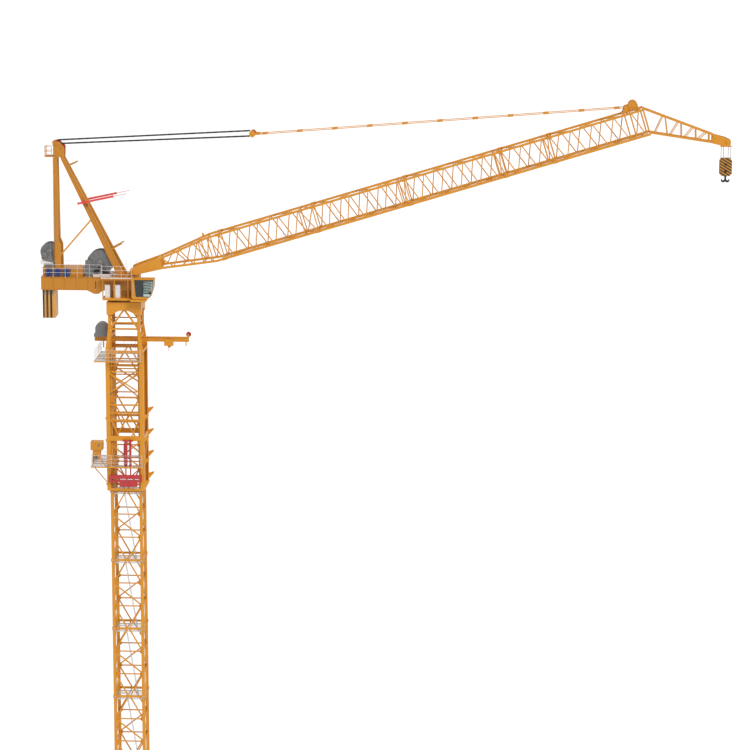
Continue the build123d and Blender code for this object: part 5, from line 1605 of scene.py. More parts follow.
@dataclass
class Mast:
    """Details of the mast: bolted collars, gussets, ladders and gratings.

    Attributes:
        bay: height of one section.
        bays: number of sections.
        leg: distance from the axis to the middle of a leg.
        collar: half the width of the collar at a joint.
    """

    bay: float = 3.467
    bays: int = 7
    leg: float = 0.70
    collar: float = 0.095

    def collars(self) -> Form:
        """Two rows of bolts and a pin on the outer faces of every collar.

        Returns:
            The bolts and pins.
        """
        forms = []
        for level in range(1, self.bays):
            z = level * self.bay
            for sx, sy in QUARTERS:
                x, y = sx * self.leg, sy * self.leg
                outer = self.collar
                spots = [(x + dx, y + sy * outer, z + dz) for dx in (-0.055, 0.055) for dz in (-0.04, 0.04)]
                forms.append(bolts(np.array(spots), (0, sy, 0), 0.015, 0.014))
                spots = [(x + sx * outer, y + dy, z + dz) for dy in (-0.055, 0.055) for dz in (-0.04, 0.04)]
                forms.append(bolts(np.array(spots), (sx, 0, 0), 0.015, 0.014))
                pin = [(POLE, 0), (0.024, 0), (0.024, 0.016), (0.018, 0.022), (POLE, 0.022)]
                forms.append(lathe(pin, (x, y + sy * outer, z), (0, sy, 0), 16))
        return joined(forms)

    def lips(self) -> Form:
        """Thin flange that stands out round the middle of each collar, where two sections meet.

        Returns:
            The flanges.
        """
        levels = np.arange(1, self.bays) * self.bay
        reach = self.collar + 0.008
        return joined([box((sx * self.leg - reach, sy * self.leg - reach, z - 0.008),
                           (sx * self.leg + reach, sy * self.leg + reach, z + 0.008)) for z in levels
                       for sx, sy in QUARTERS])

    def gussets(self) -> Form:
        """Plates behind the joints of the braces with the legs, on all four sides.

        Returns:
            The plates.
        """
        forms = []
        side, tall = self.leg - 0.0725, 0.13
        for level in range(self.bays):
            for share in (1 / 3, 2 / 3):
                z = (level + share) * self.bay
                for sx in (-1, 1):
                    inner, outer = sx * (side - 0.10), sx * side
                    shape = [(outer, z - tall), (outer, z + tall), (inner, z + tall * 0.35),
                             (inner, z - tall * 0.35)]
                    for sy in (-1, 1):
                        forms.append(plate(shape, Facing.SIDE, sy * self.leg - 0.006, sy * self.leg + 0.006))
                        forms.append(plate(shape, Facing.CROSS, sy * self.leg - 0.006, sy * self.leg + 0.006))
        return joined(forms)

    def ladders(self) -> Form:
        """Ladders from platform to platform: two side bars and a round rung every 140 mm.

        Returns:
            All ladders.
        """
        forms = []
        for level in range(5):
            low = np.array((0.35, 0.0, level * self.bay - 0.13 if level else 0.16))
            high = np.array((-0.215, 0.0, (level + 1) * self.bay - 0.16))
            run = high - low
            length = float(np.linalg.norm(run))
            step = run / length
            for y in (-0.115, 0.115):
                forms.append(bars(low + (0, y, 0), high + (0, y, 0), rectangle(0.012, 0.024), (1, 0, 0)))
            places = low + step * np.arange(0.12, length - 0.05, 0.14)[:, None]
            forms.append(bars(places - (0, 0.112, 0), places + (0, 0.112, 0), polygon(8, 0.0085), (1, 0, 0)))
        return joined(forms)

    def platforms(self) -> Form:
        """Open gratings below each joint: bars round the floor and its hatch, bearing bars and cross rods.

        Returns:
            All gratings.
        """
        forms = []
        half, x0, x1, y0 = 0.665, -0.628, -0.25, 0.21
        frame_bar = rectangle(0.012, 0.05)
        corners = np.array([(-half, -half, 0), (half, -half, 0), (half, half, 0), (-half, half, 0)])
        hatch = np.array([(x0, -y0, 0), (x1, -y0, 0), (x1, y0, 0), (x0, y0, 0)])
        x = np.arange(-half + 0.03, half - 0.01, 0.04)
        beside = x[(x < x0) | (x > x1)]
        across = x[(x >= x0) & (x <= x1)]
        rods = np.arange(-half + 0.08, half, 0.11)
        outside = rods[np.abs(rods) > y0]
        inside = rods[np.abs(rods) <= y0]
        for level in range(1, 6):
            z = np.array((0, 0, level * self.bay - 0.145))
            forms.append(bars(corners + z, np.roll(corners, -1, axis=0) + z, frame_bar))
            forms.append(bars(hatch + z, np.roll(hatch, -1, axis=0) + z, frame_bar))
            bar = rectangle(0.004, 0.022)
            place = rows(beside, 0, 0) + z
            forms.append(bars(place - (0, half, 0), place + (0, half, 0), bar))
            for side in (-1, 1):
                place = rows(across, 0, 0) + z
                forms.append(bars(place + (0, side * y0, 0), place + (0, side * half, 0), bar))
            place = rows(0, outside, 0) + z
            forms.append(bars(place - (half, 0, 0), place + (half, 0, 0), rectangle(0.006, 0.006)))
            place = rows(0, inside, 0) + z
            forms.append(bars(place + (x1, 0, 0), place + (half, 0, 0), rectangle(0.006, 0.006)))
        return joined(forms)

    def feet(self) -> Form:
        """Anchor nuts with washers on the base, round each leg.

        Returns:
            The nuts and washers.
        """
        forms = []
        for sx, sy in QUARTERS:
            for dx, dy in ((0.155, -0.16), (-0.16, 0.155), (0.20, 0.06), (0.06, 0.20)):
                place = (sx * (self.leg + dx), sy * (self.leg + dy), 0.05)
                forms.append(lathe([(POLE, 0), (0.034, 0), (0.034, 0.008), (POLE, 0.008)], place,
                                   (0, 0, 1), 20))
                forms.append(bolts(np.array([place]) + (0, 0, 0.008), (0, 0, 1), 0.024, 0.022))
        return joined(forms)

    def build(self) -> None:
        """Makes the mast's fine pieces."""
        piece("collar_bolts", self.collars(), ZINC, "tower")
        piece("collar_lips", self.lips(), YELLOW, "tower")
        piece("mast_gussets", self.gussets(), YELLOW, "tower")
        piece("foot_nuts", self.feet(), ZINC, "tower")
        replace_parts(piece("ladder_runs", self.ladders(), ZINC, "tower"), "mast_ladders")
        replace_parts(piece("rest_gratings", self.platforms(), ZINC, "tower"), "mast_platforms")


@dataclass
class Cage:
    """Details of the climbing cage: walkways, guide rollers, and fittings of the rams and the power pack.

    Attributes:
        walkways: top and rear edge of each walkway.
        lower: top of the lower walkway.
        edge: half the width of the walkways.
        face: distance from the axis to the walkways' inner edges.
    """

    walkways: tuple[tuple[float, float], ...] = ((23.85, -1.41), (18.66, -1.645))
    lower: float = 18.66
    edge: float = 1.25
    face: float = 0.9103

    def outline(self, back: float) -> list[tuple[float, float]]:
        """Outline of a walkway round three sides of the cage, open to the right.

        Args:
            back: rear edge, along X.

        Returns:
            Its corners.
        """
        side, inner = self.edge, self.face
        return [(0.85, -side), (back, -side), (back, side), (0.85, side), (0.85, inner), (-inner, inner),
                (-inner, -inner), (0.85, -inner)]

    def channels(self) -> Form:
        """Edge channels and joists of both walkways, and the struts under the lower one.

        Returns:
            The channels, joists and struts.
        """
        forms = []
        for z, back in self.walkways:
            ring = np.array([(x, y, z - 0.03) for x, y in self.outline(back)])
            forms.append(bars(ring, np.roll(ring, -1, axis=0), rectangle(0.012, 0.06)))
            for y0, y1 in ((-self.edge, -self.face), (self.face, self.edge)):
                for x in (-0.45, 0.0, 0.45):
                    forms.append(bars((x, y0, z - 0.035), (x, y1, z - 0.035), rectangle(0.03, 0.04)))
            for y in (-0.45, 0.0, 0.45):
                forms.append(bars((back, y, z - 0.035), (-self.face, y, z - 0.035), rectangle(0.03, 0.04)))
        for y in (-0.892, 0.892):
            forms.append(bars((-1.56, y, self.lower - 0.06), (-self.face, y, self.lower - 0.84),
                              rectangle(0.036, 0.06), (0, 1, 0)))
        return joined(forms)

    def grating(self) -> Form:
        """Bearing bars across the walkways every 40 mm, and cross rods along them.

        Returns:
            The bars and rods.
        """
        forms = []
        for z, back in self.walkways:
            x = np.arange(back + 0.04, 0.84, 0.04)
            for y0, y1 in ((-self.edge + 0.006, -0.915), (0.915, self.edge - 0.006)):
                starts = rows(x, y0, z - 0.014)
                forms.append(bars(starts, starts + (0, y1 - y0, 0), rectangle(0.006, 0.026)))
                y = np.linspace(y0 + 0.05, y1 - 0.05, 4)
                starts = rows(back, y, z - 0.004)
                forms.append(bars(starts, starts + (0.85 - back, 0, 0), rectangle(0.006, 0.006)))
            x = np.arange(back + 0.04, -0.915, 0.04)
            starts = rows(x, -0.915, z - 0.014)
            forms.append(bars(starts, starts + (0, 1.83, 0), rectangle(0.006, 0.026)))
            y = np.arange(-0.86, 0.9, 0.11)
            starts = rows(back, y, z - 0.004)
            forms.append(bars(starts, starts + (-0.915 - back, 0, 0), rectangle(0.006, 0.006)))
        return joined(forms)

    def rails(self) -> Form:
        """Pale guard rails round both walkways, filled with a mesh of thin wires.

        Returns:
            The rails and their mesh.
        """
        forms = []
        for z, back in self.walkways:
            y = self.edge - 0.011
            path = [(0.839, -y, z), (back + 0.011, -y, z), (back + 0.011, y, z), (0.839, y, z)]
            forms.append(Rail(0.55, 0.56, 0.0065).form(path, False))
            for start, end in zip(path[:-1], path[1:]):
                start, end = np.array(start), np.array(end)
                count = int(np.linalg.norm(end - start) / 0.075)
                places = start + (end - start) * (np.arange(1, count) / count)[:, None]
                forms.append(bars(places + (0, 0, 0.08), places + (0, 0, 0.54),
                                  rectangle(0.0035, 0.0035), (1, 0, 0)))
        return joined(forms)

    def rollers(self) -> Form:
        """Guide rollers in forks that bear on the mast's legs, at both ends of the cage.

        Returns:
            The rollers.
        """
        forms = []
        fork = [(POLE, -0.03), (0.045, -0.03), (0.05, -0.02), (0.05, 0.02), (0.045, 0.03), (POLE, 0.03)]
        for z in (17.62, 20.0, 22.2):
            for sx, sy in QUARTERS:
                x, y = sx * 0.70, sy * 0.8245
                forms.append(lathe(fork, (x, y, z), (1, 0, 0), 18))
        return joined(forms)

    def ram_details(self) -> Form:
        """Collars, glands and eye ends of the two climbing rams, with their hoses.

        Returns:
            The rams' fittings.
        """
        forms = []
        for x in (0.02, 0.25):
            for z, r, h in ((18.585, 0.064, 0.05), (18.66, 0.060, 0.02), (19.79, 0.062, 0.06),
                            (19.2, 0.059, 0.02)):
                outline = [(0.054, 0), (r, 0.004), (r, h - 0.004), (0.054, h)]
                forms.append(lathe(outline, (x, -1.0, z), (0, 0, 1), 24, True))
            if x < 0.1:
                forms.append(lathe([(0.056, 18.70), (0.096, 18.71), (0.096, 19.76), (0.056, 19.77)],
                                   (x, -1.0, 0), (0, 0, 1), 28, True))
            t = np.linspace(0, 1, 24)
            path = rows(x + 0.02 * np.sin(t * 6), -1.0 - 0.112 - 0.02 * np.sin(t * pi), 18.64 + 1.1 * t)
            forms.append(sweep(path, polygon(8, 0.009), (1, 0, 0)))
        return joined(forms)

    def power_pack(self) -> Form:
        """Motor, valve block, gauge, filler cap and ribs on the hydraulic unit's tank.

        Returns:
            The unit's fittings.
        """
        x, y, z = -1.386, -0.82, self.lower + 1.18
        forms = []
        fins = [(POLE, 0.0), (0.07, 0.0)]
        for k in range(9):
            fins += [(0.068, 0.012 + k * 0.022), (0.085, 0.014 + k * 0.022), (0.085, 0.022 + k * 0.022),
                     (0.068, 0.024 + k * 0.022)]
        fins += [(0.07, 0.22), (POLE, 0.22)]
        forms.append(lathe(fins, (x - 0.15, y - 0.245, z - 0.80), (1, 0, 0), 24))
        forms.append(lathe([(POLE, 0), (0.035, 0), (0.035, 0.02), (0.028, 0.03), (POLE, 0.03)],
                           (x - 0.18, y - 0.1, z), (0, 0, 1), 18))
        forms.append(lathe([(POLE, 0), (0.05, 0), (0.05, 0.02), (POLE, 0.022)],
                           (x + 0.12, y - 0.23, z - 0.16), (0, -1, 0), 24))
        for dx in np.linspace(-0.24, 0.24, 6):
            forms.append(box((x + dx - 0.006, y - 0.238, z - 0.40), (x + dx + 0.006, y - 0.228, z - 0.03)))
        return joined(forms)

    def build(self) -> None:
        """Makes the cage's fine pieces."""
        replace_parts(piece("walkway_channels", self.channels(), YELLOW, "tower"), "cage_upper_walkway",
                    "cage_lower_walkway")
        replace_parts(piece("walkway_gratings", self.grating(), ZINC, "tower"), "cage_upper_walkway",
                    "cage_lower_walkway")
        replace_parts(piece("walkway_rails", self.rails(), CABINET, "tower"), "cage_upper_walkway",
                    "cage_lower_walkway")
        piece("guide_rollers", self.rollers(), GREY, "tower")
        piece("ram_fittings", self.ram_details(), RED, "tower")
        piece("power_pack_fittings", self.power_pack(), GREY, "tower")


@dataclass
class TowerTop:
    """Monorail, its sheave and trolley, the auxiliary winch, and the slewing ring.

    Attributes:
        sheave: middle of the monorail's end sheave.
        trolley: middle of the trolley, along X.
        winch: middle of the auxiliary winch's drum.
        ring: radius of the slewing ring.
    """

    sheave: Point = (3.02, 0.0, 24.976)
    trolley: float = 2.054
    winch: Point = (-1.178, 0.0, 25.25)
    ring: float = 0.70

    def ring_teeth(self) -> Form:
        """Teeth round the fixed half of the ring, each a bar that narrows outwards.

        Returns:
            The teeth.
        """
        tooth = plate([(0.0, -0.012), (0.022, -0.006), (0.022, 0.006), (0.0, 0.012)], Facing.FLOOR,
                      26.648, 26.692)
        tooth.points[:, 0] += self.ring - 0.001
        return joined([tooth.turned(angle) for angle in np.arange(96) * tau / 96])

    def ring_bolts(self) -> Form:
        """Lip round the turning half of the ring, with bolt heads let into it.

        Returns:
            The lip and the heads.
        """
        angle = np.arange(48) * tau / 48
        places = rows((self.ring - 0.02) * np.cos(angle), (self.ring - 0.02) * np.sin(angle), 26.7003)
        lip = [(self.ring - 0.003, 26.712), (self.ring + 0.010, 26.716), (self.ring + 0.010, 26.748),
               (self.ring - 0.003, 26.752)]
        heads = bolts(places + (0, 0, 0.06), (0, 0, 1), 0.010, 0.0001)
        return lathe(lip, (0, 0, 0), (0, 0, 1), 72, True) + heads

    def winch_details(self) -> Form:
        """Round covers on both ends of the auxiliary winch, each with a ring of bolts.

        Returns:
            Both covers.
        """
        x, _, z = self.winch
        forms = []
        for side in (-1, 1):
            face = [(POLE, 0), (0.23, 0), (0.24, 0.006), (0.20, 0.018), (0.09, 0.02), (0.08, 0.045),
                    (POLE, 0.048)]
            forms.append(lathe(face, (x, side * 0.258, z), (0, side, 0), 40))
            forms.append(bolts(around((x, side * 0.264, z), 0.215, 12), (0, side, 0), 0.010, 0.012))
        return joined(forms)

    def trolley_details(self) -> Form:
        """Wheel discs and the hanging hook of the monorail's trolley.

        Returns:
            The wheels and the hook.
        """
        forms = []
        for dx in (-0.13, 0.13):
            for side in (-1, 1):
                wheel = [(POLE, 0), (0.026, 0), (0.028, 0.004), (0.024, 0.012), (POLE, 0.014)]
                forms.append(lathe(wheel, (self.trolley + dx, side * 0.09, 24.58), (0, side, 0), 20))
        angle = np.linspace(0.5 * pi, 2.2 * pi, 22)
        path = rows(self.trolley + 0.045 * np.cos(angle), 0, 24.21 + 0.045 * np.sin(angle))
        forms.append(sweep(path, polygon(10, 0.012), (0, 1, 0), 0.0, np.linspace(1.0, 0.5, 22)))
        forms.append(bars((self.trolley, 0, 24.25), (self.trolley, 0, 24.33), polygon(10, 0.012), (1, 0, 0)))
        return joined(forms)

    def build(self) -> None:
        """Makes the fine pieces at the tower's top."""
        piece("ring_teeth", self.ring_teeth(), GREY, "tower")
        piece("ring_bolts", self.ring_bolts(), YELLOW, "upper_works")
        piece("auxiliary_winch_covers", self.winch_details(), GREY, "tower")
        piece("trolley_fittings", self.trolley_details(), YELLOW, "trolley")
        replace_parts(piece("monorail_end_sheave", Sheave(self.sheave, 0.122, 0.045, 0.025, 6, 0.8).form(), RED,
                          "tower"), "monorail_sheave")


@dataclass
class Deck:
    """Details of the machinery deck: rails, flanges, stiffeners, gratings, louvres and cabinet doors.

    Attributes:
        front: front end of the deck.
        back: back end.
        half: half its width.
        top: height of its floor.
        low: underside of its webs.
    """

    front: float = 0.68
    back: float = -4.0
    half: float = 0.59
    top: float = DECK_TOP
    low: float = 27.173

    def rails(self) -> Form:
        """Pale rails round the deck's back part and along both galleries.

        Returns:
            All rails of the deck.
        """
        deck = Rail(0.60, 0.72, 0.0075)
        forms = [deck.form([(-1.08, -0.579, self.top), (-3.989, -0.579, self.top), (-3.989, 0.579, self.top),
                            (-1.08, 0.579, self.top)], False)]
        for side in (-1, 1):
            y = side * 0.989
            forms.append(deck.form([(-1.039, side * 0.64, self.top), (-1.039, y, self.top),
                                    (0.42, y, self.top), (0.42, side * 0.64, self.top)]))
        return joined(forms)

    def flanges(self) -> Form:
        """Flanges along the upper and lower edges of both webs, and upright stiffeners between them.

        Returns:
            The flanges and stiffeners.
        """
        forms = []
        for side in (-1, 1):
            y0, y1 = sorted((side * self.half, side * (self.half + 0.028)))
            for z0, z1 in ((self.top - 0.022, self.top - 0.002), (self.low, self.low + 0.022)):
                spans = [(self.back, -1.06)] if z0 > 27.5 else [(self.back + 0.02, -1.82),
                                                                (-0.98, self.front)]
                forms += [box((x0, y0, z0), (x1, y1, z1)) for x0, x1 in spans]
            for x in (-3.42, -2.86, -2.30, -1.74):
                y2, y3 = sorted((side * self.half, side * (self.half + 0.018)))
                forms.append(box((x - 0.006, y2, self.low + 0.022), (x + 0.006, y3, self.top - 0.022)))
        return joined(forms)

    def grating(self) -> Form:
        """Bearing bars across both galleries.

        Returns:
            The bars.
        """
        forms = []
        x = np.arange(-1.03, 0.43, 0.04)
        for y0, y1 in ((-0.985, -0.60), (0.60, 0.985)):
            starts = rows(x, y0, self.top + 0.003)
            forms.append(bars(starts, starts + (0, y1 - y0, 0), rectangle(0.006, 0.008)))
        return joined(forms)

    def louvres(self) -> Form:
        """Slanted slats over the pedestal's near and far walls, behind the cabinets.

        Returns:
            The slats.
        """
        forms = []
        z = np.arange(26.93, 27.14, 0.026)
        for side in (-1, 1):
            for x0, x1 in ((-0.60, -0.48), (-0.12, 0.34)):
                lip = np.array([(-0.004, -0.010), (0.016, -0.012), (0.016, -0.008), (-0.004, 0.010)])
                starts = rows(x0, side * 0.572, z)
                forms.append(bars(starts, starts + (x1 - x0, 0, 0), lip))
        return joined(forms)

    def cabinet_doors(self) -> Form:
        """Door leaves with rolled edges, hinges, handles and a rain hood on each cabinet.

        Returns:
            The doors with their fittings.
        """
        forms = []
        for x0, x1 in ((-0.88, -0.644), (-0.46, -0.147)):
            y, z0, z1 = -0.92, 26.87, 27.48
            forms.append(box((x0 + 0.014, y - 0.012, z0 + 0.05), (x1 - 0.014, y + 0.002, z1 - 0.03)))
            forms.append(box((x0 - 0.010, y - 0.020, z1 - 0.004), (x1 + 0.010, -0.61, z1 + 0.012)))
            forms.append(box((x1 - 0.045, y - 0.026, z0 + 0.28), (x1 - 0.032, y - 0.010, z0 + 0.36)))
            for dz in (0.10, 0.50):
                forms.append(bars((x0 + 0.018, y - 0.014, z0 + dz), (x0 + 0.018, y - 0.014, z0 + dz + 0.04),
                                  polygon(10, 0.007), (1, 0, 0)))
            for k in range(5):
                forms.append(box((x0 + 0.05, y - 0.017, z0 + 0.44 + k * 0.016),
                                 (x1 - 0.08, y - 0.011, z0 + 0.449 + k * 0.016)))
        return joined(forms)

    def plinth_trim(self) -> Form:
        """Ribs along the plinth's walls and a lip round its top.

        Returns:
            The ribs and the lip.
        """
        forms = []
        for side in (-1, 1):
            y0, y1 = sorted((side * 0.47, side * 0.482))
            for x in np.arange(-3.74, -2.0, 0.29):
                forms.append(box((x - 0.006, y0, 28.07), (x + 0.006, y1, PLINTH_TOP - 0.014)))
            y2, y3 = sorted((side * 0.468, side * 0.49))
            forms.append(box((-3.925, y2, PLINTH_TOP - 0.016), (-1.985, y3, PLINTH_TOP)))
        return joined(forms)

    def build(self) -> None:
        """Makes the deck's fine pieces."""
        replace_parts(piece("deck_guard_rails", self.rails(), CABINET, "upper_works"), "deck_railings")
        # Deck flanges in the darker yellow: painted shade.
        piece("deck_flanges", self.flanges(), SHADED_YELLOW, "upper_works")
        piece("gallery_gratings", self.grating(), DECKING, "upper_works")
        piece("pedestal_louvres", self.louvres(), DECKING, "upper_works")
        piece("cabinet_doors", self.cabinet_doors(), CABINET, "upper_works")
        piece("plinth_trim", self.plinth_trim(), YELLOW, "upper_works")


@dataclass
class Ballasting:
    """Hangers and lifting eyes of the three counterweight slabs.

    Attributes:
        back: rear face.
        top: height of the slabs' tops.
        half: half the width.
    """

    back: float = -3.95
    top: float = 27.173
    half: float = 0.50

    def form(self) -> Form:
        """Rods down both sides of each slab with plates and nuts below, and a bent eye on each outer face.

        Returns:
            The rods and eyes.
        """
        forms = []
        for k in range(3):
            x = self.back + 0.09 + k * 0.20
            for side in (-1, 1):
                y = side * (self.half + 0.012)
                forms.append(bars((x, y, 27.02), (x, y, self.top), polygon(10, 0.012), (1, 0, 0)))
                forms.append(box((x - 0.035, y - 0.012, 26.98), (x + 0.035, y + 0.012, 27.02)))
                angle = np.linspace(0, pi, 12)
                path = rows(x + 0.03 * np.cos(angle), side * (self.half + 0.004),
                            26.90 + 0.04 * np.sin(angle))
                forms.append(sweep(path, polygon(8, 0.008), (0, 1, 0)))
        return joined(forms)

    def build(self) -> None:
        """Makes the hangers."""
        piece("ballast_hangers", self.form(), GREY, "upper_works")


@dataclass
class AFrame:
    """Details of the A-frame: flanges, ladder, shaft ends, the head platform's bars and the back stops.

    Attributes:
        platform: height of the head platform's floor.
        rung: distance between rungs.
        rear: middle of the ladder, along X.
        stop_foot: middle of the far back stop over its bracket on the leg.
        stop_rise: angle of the back stops above the level.
    """

    platform: float = 33.58
    rung: float = 0.14
    rear: float = -3.352
    stop_foot: Point = (-1.89, 0.60, 31.409)
    stop_rise: float = 0.2103

    def stop_line(self, side: int) -> tuple[np.ndarray, np.ndarray]:
        """Start and direction of the back stop on one side, -1 for near and 1 for far."""
        x, y, z = self.stop_foot
        return np.array((x, side * y, z)), np.array((cos(self.stop_rise), 0.0, sin(self.stop_rise)))

    def flanges(self) -> Form:
        """Strips that stand out along the front legs' edges, on the outer faces.

        Returns:
            The strips.
        """
        forms = []
        for side in (-1, 1):
            for front in (False, True):
                z0, z1 = 28.05, 33.40
                off = -0.022 if front else 0.022
                low = np.array((front_x(z0, front) + off, side * (leg_y(z0) + 0.064), z0))
                high = np.array((front_x(z1, front) + off, side * (leg_y(z1) + 0.064), z1))
                forms.append(bars(low, high, rectangle(0.020, 0.040), (1, 0, 0)))
        return joined(forms)

    def ladder(self) -> Form:
        """Ladder up the back of the near rear leg: two side bars, rungs and stand-offs.

        Returns:
            The ladder.
        """
        z0, z1 = 28.60, 33.50
        forms = []
        for dy in (-0.10, 0.10):
            low = np.array((self.rear, -leg_y(z0) + dy, z0))
            high = np.array((self.rear, -leg_y(z1) + dy, z1))
            forms.append(bars(low, high, rectangle(0.022, 0.012), (0, 1, 0)))
        z = np.arange(z0 + 0.1, z1, self.rung)
        y = -leg_y(z)
        forms.append(bars(rows(self.rear, y - 0.1, z), rows(self.rear, y + 0.1, z), polygon(8, 0.008)))
        z = np.arange(z0 + 0.3, z1, 0.98)
        y = -leg_y(z)
        forms.append(bars(rows(self.rear, y, z), rows(-3.31, y, z), rectangle(0.20, 0.014)))
        return joined(forms)

    def head_trim(self) -> Form:
        """Shaft ends with keeper plates, and bearing bars on the head platform's floor.

        Returns:
            The shaft ends and the bars.
        """
        forms = []
        for shaft in (HEAD_SHAFT, LOW_SHAFT):
            for side in (-1, 1):
                cap = [(POLE, 0), (0.075, 0), (0.08, 0.008), (0.07, 0.028), (POLE, 0.03)]
                forms.append(lathe(cap, (shaft[0], side * 0.29, shaft[2]), (0, side, 0), 24))
                places = around((shaft[0], side * 0.318, shaft[2]), 0.055, 6)
                forms.append(bolts(places, (0, side, 0), 0.007, 0.006))
        x = np.arange(-3.74, -3.32, 0.04)
        starts = rows(x, -0.295, self.platform + 0.003)
        forms.append(bars(starts, starts + (0, 0.59, 0), rectangle(0.006, 0.008)))
        return joined(forms)

    def stops(self) -> Form:
        """Spring housings of both back stops: slim boxes with bands, end plates, lids and leg brackets.

        Returns:
            Both housings.
        """
        forms = []
        for side in (-1, 1):
            middle, way = self.stop_line(side)
            forms.append(bars(middle - way * 0.28, middle + way * 1.46, rectangle(0.092, 0.092)))
            for along, reach in ((-0.27, 0.062), (-0.05, 0.054), (0.42, 0.054), (0.95, 0.054), (1.44, 0.062)):
                start = middle + way * (along - 0.012)
                forms.append(bars(start, start + way * 0.024, rectangle(2 * reach, 2 * reach)))
            lid = middle + (0, side * 0.046, 0)
            forms.append(bars(lid, lid + way * 0.38, rectangle(0.012, 0.055)))
            y0, y1 = sorted((side * (leg_y(self.stop_foot[2]) + 0.055), side * 0.56))
            forms.append(box((-1.98, y0, 31.35), (-1.80, y1, 31.47)))
        return joined(forms)

    def stop_rods(self) -> Form:
        """Rods that slide out of the housings, each with a nut and a round buffer plate at its end.

        Returns:
            Both rods.
        """
        forms = []
        for side in (-1, 1):
            middle, way = self.stop_line(side)
            forms.append(bars(middle + way * 1.46, middle + way * 2.09, polygon(14, 0.017)))
            forms.append(bars(middle + way * 1.46, middle + way * 1.50, polygon(6, 0.036)))
            forms.append(bars(middle + way * 2.075, middle + way * 2.095, polygon(20, 0.034)))
        return joined(forms)

    def dark_blocks(self) -> Form:
        """Dark blocks on the front legs' outer faces, under the back stops.

        Returns:
            Both blocks.
        """
        forms = []
        for side in (-1, 1):
            y = side * (leg_y(31.25) + 0.066)
            forms.append(bars((-1.79, y, 31.22), (-1.71, y, 31.30), rectangle(0.024, 0.070), (0, 1, 0)))
        return joined(forms)

    def build(self) -> None:
        """Makes the A-frame's fine pieces."""
        # Flanges, ladder and head fittings in the darker yellow: painted shade.
        piece("aframe_flanges", self.flanges(), SHADED_YELLOW, "upper_works")
        piece("aframe_ladder", self.ladder(), SHADED_YELLOW, "upper_works")
        piece("aframe_head_fittings", self.head_trim(), SHADED_YELLOW, "upper_works")
        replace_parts(piece("back_stop_housings", self.stops(), STOP_RED, "upper_works"), "back_stops")
        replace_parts(piece("back_stop_rods", self.stop_rods(), ROD_PINK, "upper_works"), "back_stops")
        piece("back_stop_dark_blocks", self.dark_blocks(), FORGED, "upper_works")


